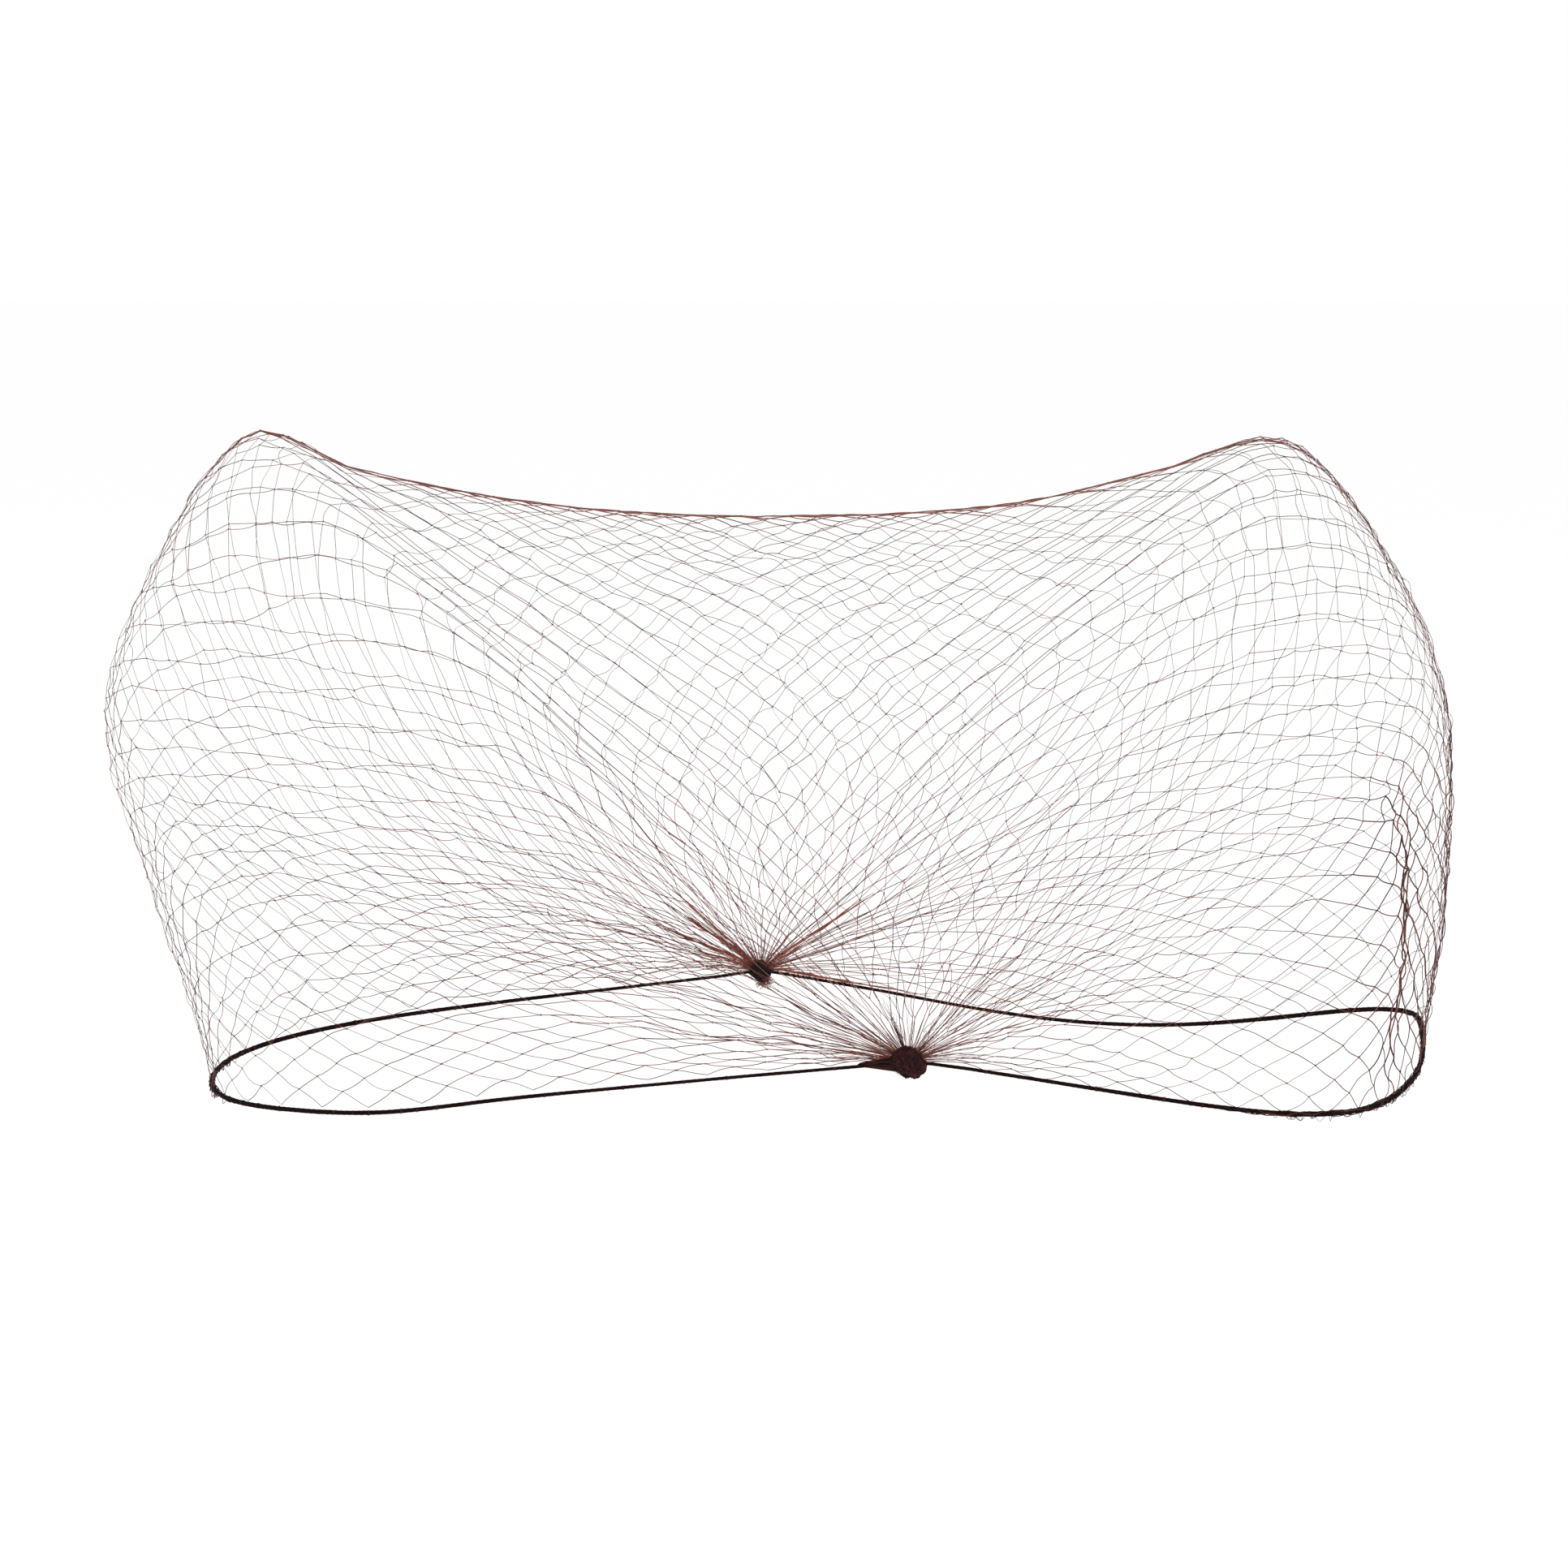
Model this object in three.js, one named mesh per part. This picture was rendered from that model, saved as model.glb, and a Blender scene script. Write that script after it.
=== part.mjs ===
// Disposable hair net, stretched wide open.
// Millimetres, +X right, +Y away from the viewer, +Z up. The origin is in the open mouth,
// straight below the lowest point of the crown, at the level of the lowest part of the elastic loop.

import * as THREE from "three";

// Overall form of the stretched net
const HALF_SPAN = 138;
const CROWN_HEIGHT = 134;
const FRONT_DEPTH = 46;
const REAR_DEPTH = 40;

// Net: wall of the shell, width of a bar between two gaps, and the rows and columns of meshes
const NET_WALL = 1.0;
const NET_BAR = 3.0;
const SLIMMEST_BAR_SHARE = 0.27;
const HALF_COLUMNS = 20;
const HALF_ROWS = 12;
const SIDE_STEPS = 2;
const CORNER_ROUNDING = 0.94;

// Elastic loop
const ELASTIC_RADIUS = 0.45;
const ELASTIC_SIDES = 8;
const ELASTIC_STEPS_PER_RUN = 44;

// Knots: their balls, and the flare at each end of the bore that the elastic runs through
const FRONT_KNOT_RADIUS = 3.25;
const REAR_KNOT_RADIUS = 2.3;
const BORE_FLARE = 0.45;
const KNOT_SEGMENTS = 16;
const KNOT_ARC_STEPS = 8;

// Space left between pieces that touch
const CLEARANCE = 0.3;

// Where the two knots sit on the loop
const FRONT_KNOT = new THREE.Vector3(24.8, -35, 12);
const REAR_KNOT = new THREE.Vector3(-5, 34, 14.9);

// Folds that gather the net towards each knot: height, how many, and how far they reach
const PLEAT_HEIGHT = 1.1;
const PLEATS = HALF_COLUMNS / 2;
const PLEAT_REACH = 70;

// How far the front and rear lines hang below straight ones at the right rim, and how far up the
// outline from that rim this fades out
const FRONT_DIP = 16;
const REAR_DIP = 10;
const DIP_FADE = 22;

// Outline of the net from the left rim, over the top, to the right rim. Across is a share of
// HALF_SPAN and up of CROWN_HEIGHT. Front, rear and lean are the depth of each side and the
// offset of the outline, as shares of FRONT_DEPTH, REAR_DEPTH and FRONT_DEPTH. Straight and
// flat say how squarely a section turns from its long side into its end.
const OUTLINE = [
  { across: -0.858, up: 0.012, lean: 0.0, front: 1.04, rear: 0.94, straight: 5.0, flat: 2.2 },
  { across: -0.885, up: 0.134, lean: 0.0, front: 1.02, rear: 0.95, straight: 4.4, flat: 2.4 },
  { across: -0.937, up: 0.313, lean: 0.0, front: 0.98, rear: 0.98, straight: 3.6, flat: 3.0 },
  { across: -0.998, up: 0.575, lean: 0.0, front: 0.92, rear: 1.0, straight: 3.4, flat: 3.2 },
  { across: -0.928, up: 0.8, lean: 0.0, front: 0.84, rear: 0.95, straight: 3.2, flat: 3.0 },
  { across: -0.78, up: 1.0, lean: 0.0, front: 0.7, rear: 0.82, straight: 3.0, flat: 2.5 },
  { across: -0.63, up: 0.946, lean: 0.0, front: 0.54, rear: 0.62, straight: 3.0, flat: 2.2 },
  { across: -0.325, up: 0.89, lean: 0.0, front: 0.4, rear: 0.46, straight: 3.0, flat: 2.0 },
  { across: 0.0, up: 0.875, lean: 0.0, front: 0.36, rear: 0.42, straight: 3.0, flat: 2.0 },
  { across: 0.325, up: 0.892, lean: 0.0, front: 0.4, rear: 0.48, straight: 3.0, flat: 2.0 },
  { across: 0.552, up: 0.944, lean: 0.0, front: 0.54, rear: 0.7, straight: 3.0, flat: 2.2 },
  { across: 0.73, up: 0.995, lean: -0.2, front: 0.56, rear: 0.92, straight: 3.0, flat: 2.5 },
  { across: 0.9, up: 0.79, lean: -0.08, front: 0.8, rear: 1.0, straight: 3.2, flat: 3.0 },
  { across: 0.972, up: 0.6, lean: 0.0, front: 0.94, rear: 1.0, straight: 3.4, flat: 3.2 },
  { across: 0.982, up: 0.3, lean: 0.04, front: 0.96, rear: 0.98, straight: 3.6, flat: 3.0 },
  { across: 0.975, up: 0.184, lean: 0.12, front: 0.96, rear: 0.88, straight: 4.2, flat: 2.4 },
  { across: 0.967, up: 0.082, lean: 0.2, front: 0.98, rear: 0.82, straight: 4.8, flat: 2.2 },
];

// Places where the front sheet is pushed forward by an upright ridge. Across, wide and up, tall
// are shares of HALF_SPAN and CROWN_HEIGHT, and push is a share of FRONT_DEPTH.
const FRONT_RIDGES = [
  { across: -0.58, up: 0.26, wide: 0.13, tall: 0.36, push: 0.15 },
  { across: 0.82, up: 0.4, wide: 0.12, tall: 0.32, push: 0.11 },
];

const netMaterial = new THREE.MeshStandardMaterial({ color: 0x6b3a2b, roughness: 0.6, metalness: 0 });
const elasticMaterial = new THREE.MeshStandardMaterial({ color: 0x1c1210, roughness: 0.75, metalness: 0 });
const knotMaterial = new THREE.MeshStandardMaterial({ color: 0x2a1611, roughness: 0.8, metalness: 0 });

// Surface of the net. A place on it has a share across, from the left rim over the top to the
// right rim, and a share along, from the front knot to the rear knot.

const outlinePoints = OUTLINE.map((row) => ({
  x: row.across * HALF_SPAN,
  z: row.up * CROWN_HEIGHT,
  y: row.lean * FRONT_DEPTH,
  front: row.front * FRONT_DEPTH,
  rear: row.rear * REAR_DEPTH,
  straight: row.straight,
  flat: row.flat,
}));

const outlineShares = [0];
for (let row = 1; row < outlinePoints.length; row += 1) {
  const last = outlinePoints[row - 1];
  const next = outlinePoints[row];
  outlineShares.push(outlineShares[row - 1] + Math.hypot(next.x - last.x, next.z - last.z));
}
const outlineLength = outlineShares[outlineShares.length - 1];

function slopeAt(key, row) {
  const before = Math.max(row - 1, 0);
  const after = Math.min(row + 1, outlinePoints.length - 1);
  const rise = outlinePoints[after][key] - outlinePoints[before][key];
  return rise / (outlineShares[after] - outlineShares[before]);
}

// A smooth curve through the table's rows, for every column of it at once
function outlineAt(shareAcross) {
  const place = shareAcross * outlineLength;
  let row = 0;
  while (row < outlinePoints.length - 2 && outlineShares[row + 1] < place) row += 1;
  const gap = outlineShares[row + 1] - outlineShares[row];
  const s = (place - outlineShares[row]) / gap;
  const result = {};
  for (const key of Object.keys(outlinePoints[0])) {
    const start = outlinePoints[row][key];
    const end = outlinePoints[row + 1][key];
    const curveIn = (s ** 3 - 2 * s ** 2 + s) * gap * slopeAt(key, row);
    const curveOut = (s ** 3 - s ** 2) * gap * slopeAt(key, row + 1);
    result[key] = start + (3 * s ** 2 - 2 * s ** 3) * (end - start) + curveIn + curveOut;
  }
  result.hang = Math.exp(-(((outlineLength - place) / DIP_FADE) ** 2));
  return result;
}

function ridgePush(x, z) {
  let push = 0;
  for (const ridge of FRONT_RIDGES) {
    const sideways = (x - ridge.across * HALF_SPAN) / (ridge.wide * HALF_SPAN);
    const upwards = (z - ridge.up * CROWN_HEIGHT) / (ridge.tall * CROWN_HEIGHT);
    push += ridge.push * FRONT_DEPTH * Math.exp(-(sideways ** 2) - upwards ** 2);
  }
  return push;
}

// The net's gathered end is an arc round each knot, above the elastic that runs through it
const RIM_ABOVE_ELASTIC = ELASTIC_RADIUS + CLEARANCE;
const ENDS = [
  { knot: FRONT_KNOT, radius: FRONT_KNOT_RADIUS + CLEARANCE, depth: "front", side: -1 },
  { knot: REAR_KNOT, radius: REAR_KNOT_RADIUS + CLEARANCE, depth: "rear", side: 1 },
];
const LINE_STEPS = 80;

function halfLine(top, end) {
  const startX = end.knot.x;
  const startZ = end.knot.z + RIM_ABOVE_ELASTIC;
  const reach = Math.hypot(top.x - startX, top.z - startZ);
  const edge = end.radius / reach;
  const knotDepth = Math.abs(end.knot.y);
  const points = [];
  for (let step = 0; step <= LINE_STEPS; step += 1) {
    const turn = (step / LINE_STEPS) * (Math.PI / 2);
    const outwards = Math.sin(turn) ** (2 / top.straight);
    const inwards = Math.cos(turn) ** (2 / top.flat);
    const share = edge + (1 - edge) * outwards;
    const x = startX + (top.x - startX) * share;
    const frontDip = FRONT_DIP * outwards * inwards;
    const rearDip = REAR_DIP * Math.sin(Math.PI * outwards ** 1.2);
    const dip = end.side > 0 ? rearDip : frontDip;
    const z = startZ + (top.z - startZ) * share - dip * top.hang;
    const depth = knotDepth + (top[end.depth] - knotDepth) * outwards ** 1.5;
    const push = end.side < 0 ? ridgePush(x, z) * Math.min(1, 4 * outwards) : 0;
    const y = top.y * outwards + end.side * (depth + push) * inwards;
    points.push(new THREE.Vector3(x, y, z));
  }
  return points;
}

const lineCache = new Map();

function lineAt(shareAcross) {
  const key = shareAcross.toFixed(6);
  if (!lineCache.has(key)) {
    const top = outlineAt(shareAcross);
    const front = halfLine(top, ENDS[0]);
    const rear = halfLine(top, ENDS[1]).reverse();
    const points = front.concat(rear.slice(1));
    const lengths = [0];
    for (let step = 1; step < points.length; step += 1) {
      lengths.push(lengths[step - 1] + points[step].distanceTo(points[step - 1]));
    }
    lineCache.set(key, { points, lengths });
  }
  return lineCache.get(key);
}

function surfacePoint(shareAcross, shareAlong) {
  const { points, lengths } = lineAt(shareAcross);
  const place = shareAlong * lengths[lengths.length - 1];
  let step = 0;
  while (step < lengths.length - 2 && lengths[step + 1] < place) step += 1;
  const s = (place - lengths[step]) / (lengths[step + 1] - lengths[step]);
  return points[step].clone().lerp(points[step + 1], s);
}

const NUDGE = 0.004;

function surfaceNormal(shareAcross, shareAlong) {
  const left = surfacePoint(Math.max(shareAcross - NUDGE, 0), shareAlong);
  const right = surfacePoint(Math.min(shareAcross + NUDGE, 1), shareAlong);
  const before = surfacePoint(shareAcross, Math.max(shareAlong - NUDGE, 0));
  const after = surfacePoint(shareAcross, Math.min(shareAlong + NUDGE, 1));
  return right.sub(left).cross(after.sub(before)).normalize();
}

// Pleats rise a little way from the knot and fade out over the sheet
function pleatAt(shareAcross, shareAlong) {
  const { lengths } = lineAt(shareAcross);
  const whole = lengths[lengths.length - 1];
  const fromKnot = Math.min(shareAlong, 1 - shareAlong) * whole;
  if (fromKnot > PLEAT_REACH) return 0;
  const swell = Math.sin((Math.PI * fromKnot) / PLEAT_REACH) ** 2;
  const fromRim = Math.min(1, 10 * Math.min(shareAcross, 1 - shareAcross));
  return PLEAT_HEIGHT * swell * fromRim * Math.cos(2 * Math.PI * PLEATS * shareAcross);
}

// Rows of meshes lie closer together over the crown, where the net bunches
const CROWN_BUNCHING = 0.5;
const END_BUNCHING = 0.3;

function rowPlace(row, shareAcross) {
  const t = row / HALF_ROWS;
  const crown = Math.sin(Math.PI * shareAcross) ** 2;
  const bunching = END_BUNCHING + (CROWN_BUNCHING - END_BUNCHING) * crown;
  return t + (bunching * Math.sin(2 * Math.PI * t)) / (2 * Math.PI);
}

// A point of the shell's middle surface, and its two faces
function shellPoint(column, row) {
  const across = column / HALF_COLUMNS;
  const along = rowPlace(row, across);
  const normal = surfaceNormal(across, along);
  const middle = surfacePoint(across, along).addScaledVector(normal, pleatAt(across, along));
  return {
    outer: middle.clone().addScaledVector(normal, NET_WALL / 2),
    inner: middle.clone().addScaledVector(normal, -NET_WALL / 2),
  };
}

const shellCache = new Map();

function shellAt([column, row]) {
  const key = `${column.toFixed(5)} ${row.toFixed(5)}`;
  if (!shellCache.has(key)) shellCache.set(key, shellPoint(column, row));
  return shellCache.get(key);
}

function addTriangle(list, a, b, c) {
  list.push(a.x, a.y, a.z, b.x, b.y, b.z, c.x, c.y, c.z);
}

function addQuad(list, a, b, c, d) {
  addTriangle(list, a, b, c);
  addTriangle(list, a, c, d);
}

// Corners of a mesh, clipped to a half mesh where it meets a rim, in order round its middle
function cellCorners(column, row) {
  const corners = [[column - 1, row], [column, row - 1], [column + 1, row], [column, row + 1]];
  return corners.filter(([c, r]) => c >= 0 && c <= HALF_COLUMNS && r >= 0 && r <= HALF_ROWS);
}

function cellRing(corners) {
  const ring = [];
  corners.forEach((corner, k) => {
    const next = corners[(k + 1) % corners.length];
    const alongRim = corner[0] === next[0] || corner[1] === next[1];
    const steps = alongRim ? 2 * SIDE_STEPS : SIDE_STEPS;
    for (let step = 0; step < steps; step += 1) {
      const s = step / steps;
      const place = [corner[0] + (next[0] - corner[0]) * s, corner[1] + (next[1] - corner[1]) * s];
      ring.push({ place, isCorner: step === 0, onRim: alongRim });
    }
  });
  return ring;
}

// Half the width of a mesh between two opposite bars, in millimetres
function halfFlats(corners, middle) {
  let nearest = Infinity;
  const centre = shellAt(middle).outer;
  corners.forEach((corner, k) => {
    const a = shellAt(corner).outer;
    const b = shellAt(corners[(k + 1) % corners.length]).outer;
    const closest = new THREE.Vector3();
    new THREE.Line3(a, b).closestPointToPoint(centre, true, closest);
    nearest = Math.min(nearest, closest.distanceTo(centre));
  });
  return nearest;
}

function addCell(list, column, row) {
  const corners = cellCorners(column, row);
  const ring = cellRing(corners);
  const middle = [0, 1].map((k) => corners.reduce((sum, corner) => sum + corner[k], 0) / corners.length);
  const isPierced = row > 0 && row < HALF_ROWS;
  const flats = halfFlats(corners, middle);
  const bar = Math.min(NET_BAR / 2, SLIMMEST_BAR_SHARE * flats);
  const shrink = 1 - bar / flats;
  const hole = ring.map(({ place, isCorner }) => {
    const reach = shrink * (isCorner ? CORNER_ROUNDING : 1);
    return middle.map((centre, k) => centre + (place[k] - centre) * reach);
  });
  const centre = shellAt(middle);
  ring.forEach((edge, k) => {
    const next = (k + 1) % ring.length;
    const a = shellAt(edge.place);
    const b = shellAt(ring[next].place);
    if (isPierced) {
      const c = shellAt(hole[next]);
      const d = shellAt(hole[k]);
      addQuad(list, a.outer, b.outer, c.outer, d.outer);
      addQuad(list, b.inner, a.inner, d.inner, c.inner);
      addQuad(list, d.outer, c.outer, c.inner, d.inner);
    } else {
      addTriangle(list, a.outer, b.outer, centre.outer);
      addTriangle(list, b.inner, a.inner, centre.inner);
    }
    if (edge.onRim) addQuad(list, b.outer, a.outer, a.inner, b.inner);
  });
}

function geometryFrom(list) {
  const geometry = new THREE.BufferGeometry();
  geometry.setAttribute("position", new THREE.Float32BufferAttribute(list, 3));
  geometry.computeVertexNormals();
  return geometry;
}

function netCrown() {
  const list = [];
  for (let column = 0; column <= HALF_COLUMNS; column += 1) {
    for (let row = 0; row <= HALF_ROWS; row += 1) {
      if ((column + row) % 2 === 1) addCell(list, column, row);
    }
  }
  const mesh = new THREE.Mesh(geometryFrom(list), netMaterial);
  mesh.name = "net_crown";
  return mesh;
}

// The elastic follows both rims just below the net and runs straight through the two knots
function elasticRoute() {
  const drop = new THREE.Vector3(0, 0, -RIM_ABOVE_ELASTIC);
  const route = [FRONT_KNOT.clone()];
  for (let step = 1; step < ELASTIC_STEPS_PER_RUN; step += 1) {
    route.push(surfacePoint(0, step / ELASTIC_STEPS_PER_RUN).add(drop));
  }
  route.push(REAR_KNOT.clone());
  for (let step = ELASTIC_STEPS_PER_RUN - 1; step > 0; step -= 1) {
    route.push(surfacePoint(1, step / ELASTIC_STEPS_PER_RUN).add(drop));
  }
  return route;
}

function elasticEdge() {
  const route = elasticRoute();
  const count = route.length;
  const upright = new THREE.Vector3(0, 0, 1);
  const rings = route.map((centre, k) => {
    const tangent = route[(k + 1) % count].clone().sub(route[(k + count - 1) % count]).normalize();
    const sideways = tangent.clone().cross(upright).normalize();
    const up = sideways.clone().cross(tangent);
    const ring = [];
    for (let side = 0; side < ELASTIC_SIDES; side += 1) {
      const angle = ((side + 0.5) / ELASTIC_SIDES) * 2 * Math.PI;
      const point = centre.clone().addScaledVector(sideways, ELASTIC_RADIUS * Math.cos(angle));
      ring.push(point.addScaledVector(up, ELASTIC_RADIUS * Math.sin(angle)));
    }
    return ring;
  });
  const list = [];
  rings.forEach((ring, k) => {
    const next = rings[(k + 1) % count];
    for (let side = 0; side < ELASTIC_SIDES; side += 1) {
      const after = (side + 1) % ELASTIC_SIDES;
      addQuad(list, ring[after], ring[side], next[side], next[after]);
    }
  });
  const mesh = new THREE.Mesh(geometryFrom(list), elasticMaterial);
  mesh.name = "elastic_edge";
  return mesh;
}

// A ball of tied net with a flared bore for the elastic, which runs along X there
function knot(name, place, radius) {
  const bore = ELASTIC_RADIUS + CLEARANCE;
  const mouth = bore + BORE_FLARE;
  const reach = Math.acos(mouth / radius);
  const profile = [];
  for (let step = 0; step <= KNOT_ARC_STEPS; step += 1) {
    const angle = -reach + (2 * reach * step) / KNOT_ARC_STEPS;
    profile.push(new THREE.Vector2(radius * Math.cos(angle), radius * Math.sin(angle)));
  }
  profile.push(new THREE.Vector2(bore, 0));
  profile.push(profile[0].clone());
  const geometry = new THREE.LatheGeometry(profile, KNOT_SEGMENTS);
  geometry.rotateZ(Math.PI / 2);
  const mesh = new THREE.Mesh(geometry, knotMaterial);
  mesh.name = name;
  mesh.position.copy(place);
  return mesh;
}

const hairNet = new THREE.Group();
hairNet.add(netCrown());
hairNet.add(elasticEdge());
hairNet.add(knot("front_knot", FRONT_KNOT, FRONT_KNOT_RADIUS));
hairNet.add(knot("rear_knot", REAR_KNOT, REAR_KNOT_RADIUS));

export default hairNet;
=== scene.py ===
import math

import bmesh
import bpy
import numpy as np
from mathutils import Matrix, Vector, noise


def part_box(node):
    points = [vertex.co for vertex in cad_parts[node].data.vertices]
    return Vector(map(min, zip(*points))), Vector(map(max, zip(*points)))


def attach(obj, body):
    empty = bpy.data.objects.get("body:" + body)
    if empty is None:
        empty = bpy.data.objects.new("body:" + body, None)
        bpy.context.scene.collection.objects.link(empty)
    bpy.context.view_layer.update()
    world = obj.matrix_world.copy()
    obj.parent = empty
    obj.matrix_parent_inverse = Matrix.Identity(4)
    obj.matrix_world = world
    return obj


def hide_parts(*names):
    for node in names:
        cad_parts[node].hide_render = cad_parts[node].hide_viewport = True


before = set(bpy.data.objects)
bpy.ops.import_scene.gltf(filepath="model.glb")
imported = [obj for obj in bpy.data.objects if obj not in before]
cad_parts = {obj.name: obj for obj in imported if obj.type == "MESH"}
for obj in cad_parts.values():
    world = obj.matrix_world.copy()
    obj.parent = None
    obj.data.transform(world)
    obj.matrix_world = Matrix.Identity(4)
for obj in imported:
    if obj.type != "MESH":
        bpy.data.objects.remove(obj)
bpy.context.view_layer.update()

# The mesh bag. The real one is a tube of knotted nylon netting, drawn together at both ends, so
# its columns of meshes run from the front knot over the crown to the rear knot. Its form is
# worked out from an outline over the top and the depth of the sheet on either side of it.
MM = 0.001
HALF_SPAN = 138 * MM
CROWN_HEIGHT = 134 * MM
FRONT_DEPTH = 46 * MM
REAR_DEPTH = 40 * MM
ELASTIC_RADIUS = 0.45 * MM
CLEARANCE = 0.3 * MM
RIM_ABOVE_ELASTIC = ELASTIC_RADIUS + CLEARANCE

# How far the front and rear lines hang below straight ones at the right rim, and how far up the
# outline from that rim this fades out
FRONT_DIP = 16 * MM
REAR_DIP = 10 * MM
DIP_FADE = 22 * MM
# How late on its way from the knot a section dips at the rear, and how late it gains its depth
REAR_DIP_LATENESS = 1.2
DEPTH_LATENESS = 1.5

# Columns: across and up (shares of HALF_SPAN and CROWN_HEIGHT), lean and front (of FRONT_DEPTH),
# rear (of REAR_DEPTH), straight and flat (how squarely a section turns)
OUTLINE = np.array([
    (-0.858, 0.012, 0.00, 1.04, 0.94, 5.0, 2.2),
    (-0.885, 0.134, 0.00, 1.02, 0.95, 4.4, 2.4),
    (-0.937, 0.313, 0.00, 0.98, 0.98, 3.6, 3.0),
    (-0.998, 0.575, 0.00, 0.92, 1.00, 3.4, 3.2),
    (-0.928, 0.800, 0.00, 0.84, 0.95, 3.2, 3.0),
    (-0.780, 1.000, 0.00, 0.70, 0.82, 3.0, 2.5),
    (-0.630, 0.946, 0.00, 0.54, 0.62, 3.0, 2.2),
    (-0.325, 0.890, 0.00, 0.40, 0.46, 3.0, 2.0),
    (0.000, 0.875, 0.00, 0.36, 0.42, 3.0, 2.0),
    (0.325, 0.892, 0.00, 0.40, 0.48, 3.0, 2.0),
    (0.552, 0.944, 0.00, 0.54, 0.70, 3.0, 2.2),
    (0.730, 0.995, -0.20, 0.56, 0.92, 3.0, 2.5),
    (0.900, 0.790, -0.08, 0.80, 1.00, 3.2, 3.0),
    (0.972, 0.600, 0.00, 0.94, 1.00, 3.4, 3.2),
    (0.982, 0.300, 0.04, 0.96, 0.98, 3.6, 3.0),
    (0.975, 0.184, 0.12, 0.96, 0.88, 4.2, 2.4),
    (0.967, 0.082, 0.20, 0.98, 0.82, 4.8, 2.2),
])
OUTLINE_UNITS = (HALF_SPAN, CROWN_HEIGHT, FRONT_DEPTH, FRONT_DEPTH, REAR_DEPTH, 1, 1)
outline = OUTLINE * OUTLINE_UNITS
outline_steps = np.hypot(np.diff(outline[:, 0]), np.diff(outline[:, 1]))
outline_length = outline_steps.sum()
outline_along = np.concatenate([[0], np.cumsum(outline_steps)]) / outline_length

# Upright ridges that push the front sheet forward: across, wide, up, tall, push
FRONT_RIDGES = np.array([(-0.58, 0.13, 0.26, 0.36, 0.15), (0.82, 0.12, 0.40, 0.32, 0.11)])
front_ridges = FRONT_RIDGES * (HALF_SPAN, HALF_SPAN, CROWN_HEIGHT, CROWN_HEIGHT, FRONT_DEPTH)
# Share of the way out from the knot over which a ridge rises
RIDGE_RISE = 0.25


def middle_of(node):
    """The middle of a solid's box."""
    low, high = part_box(node)
    return (np.array(low) + np.array(high)) / 2


def radius_of(node):
    """Half the height of a solid's box."""
    low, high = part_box(node)
    return (high[2] - low[2]) / 2


FRONT_KNOT = middle_of("front_knot")
REAR_KNOT = middle_of("rear_knot")
FRONT_KNOT_RADIUS = radius_of("front_knot")
REAR_KNOT_RADIUS = radius_of("rear_knot")
LINE_STEPS = 80


def outline_at(across):
    """A smooth curve through the outline's rows, for every column of it at once."""
    slopes = np.empty_like(outline)
    run = outline_along[2:] - outline_along[:-2]
    slopes[1:-1] = (outline[2:] - outline[:-2]) / run[:, None]
    slopes[0] = (outline[1] - outline[0]) / outline_along[1]
    slopes[-1] = (outline[-1] - outline[-2]) / (1 - outline_along[-2])
    row = np.clip(np.searchsorted(outline_along, across, side="right") - 1, 0, len(outline) - 2)
    gap = (outline_along[row + 1] - outline_along[row])[:, None]
    s = (across - outline_along[row])[:, None] / gap
    straight = (3 * s**2 - 2 * s**3) * (outline[row + 1] - outline[row])
    curve_in = (s**3 - 2 * s**2 + s) * gap * slopes[row]
    curve_out = (s**3 - s**2) * gap * slopes[row + 1]
    return outline[row] + straight + curve_in + curve_out


def half_lines(top, hang, knot, edge_radius, depth_column, side):
    """Lines over the sheet from one knot to the outline, one for each row of top."""
    start_x = knot[0]
    start_z = knot[2] + RIM_ABOVE_ELASTIC
    reach = np.hypot(top[:, 0] - start_x, top[:, 1] - start_z)[:, None]
    turn = np.linspace(0, math.pi / 2, LINE_STEPS + 1)[None, :]
    outwards = np.sin(turn) ** (2 / top[:, 5:6])
    inwards = np.clip(np.cos(turn), 0, 1) ** (2 / top[:, 6:7])
    share = edge_radius / reach + (1 - edge_radius / reach) * outwards
    if side > 0:
        dip = REAR_DIP * np.sin(np.pi * outwards**REAR_DIP_LATENESS)
    else:
        dip = FRONT_DIP * outwards * inwards
    x = start_x + (top[:, 0:1] - start_x) * share
    z = start_z + (top[:, 1:2] - start_z) * share - dip * hang
    gained = (top[:, depth_column, None] - abs(knot[1])) * outwards**DEPTH_LATENESS
    depth = abs(knot[1]) + gained
    if side < 0:
        for across, wide, up, tall, push in front_ridges:
            swell = np.exp(-(((x - across) / wide) ** 2) - ((z - up) / tall) ** 2)
            depth = depth + push * swell * np.minimum(1, outwards / RIDGE_RISE)
    y = top[:, 2:3] * outwards + side * depth * inwards
    return np.stack([x, y, z], axis=-1)


def net_lines(across):
    """Lines from the front knot over the outline to the rear knot, and how far along each is."""
    top = outline_at(across)
    hang = np.exp(-(((1 - across[:, None]) * outline_length / DIP_FADE) ** 2))
    front = half_lines(top, hang, FRONT_KNOT, FRONT_KNOT_RADIUS + CLEARANCE, 3, -1)
    rear = half_lines(top, hang, REAR_KNOT, REAR_KNOT_RADIUS + CLEARANCE, 4, 1)
    lines = np.concatenate([front, rear[:, ::-1][:, 1:]], axis=1)
    steps = np.linalg.norm(np.diff(lines, axis=1), axis=2)
    return lines, np.concatenate([np.zeros((len(lines), 1)), np.cumsum(steps, axis=1)], axis=1)


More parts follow.
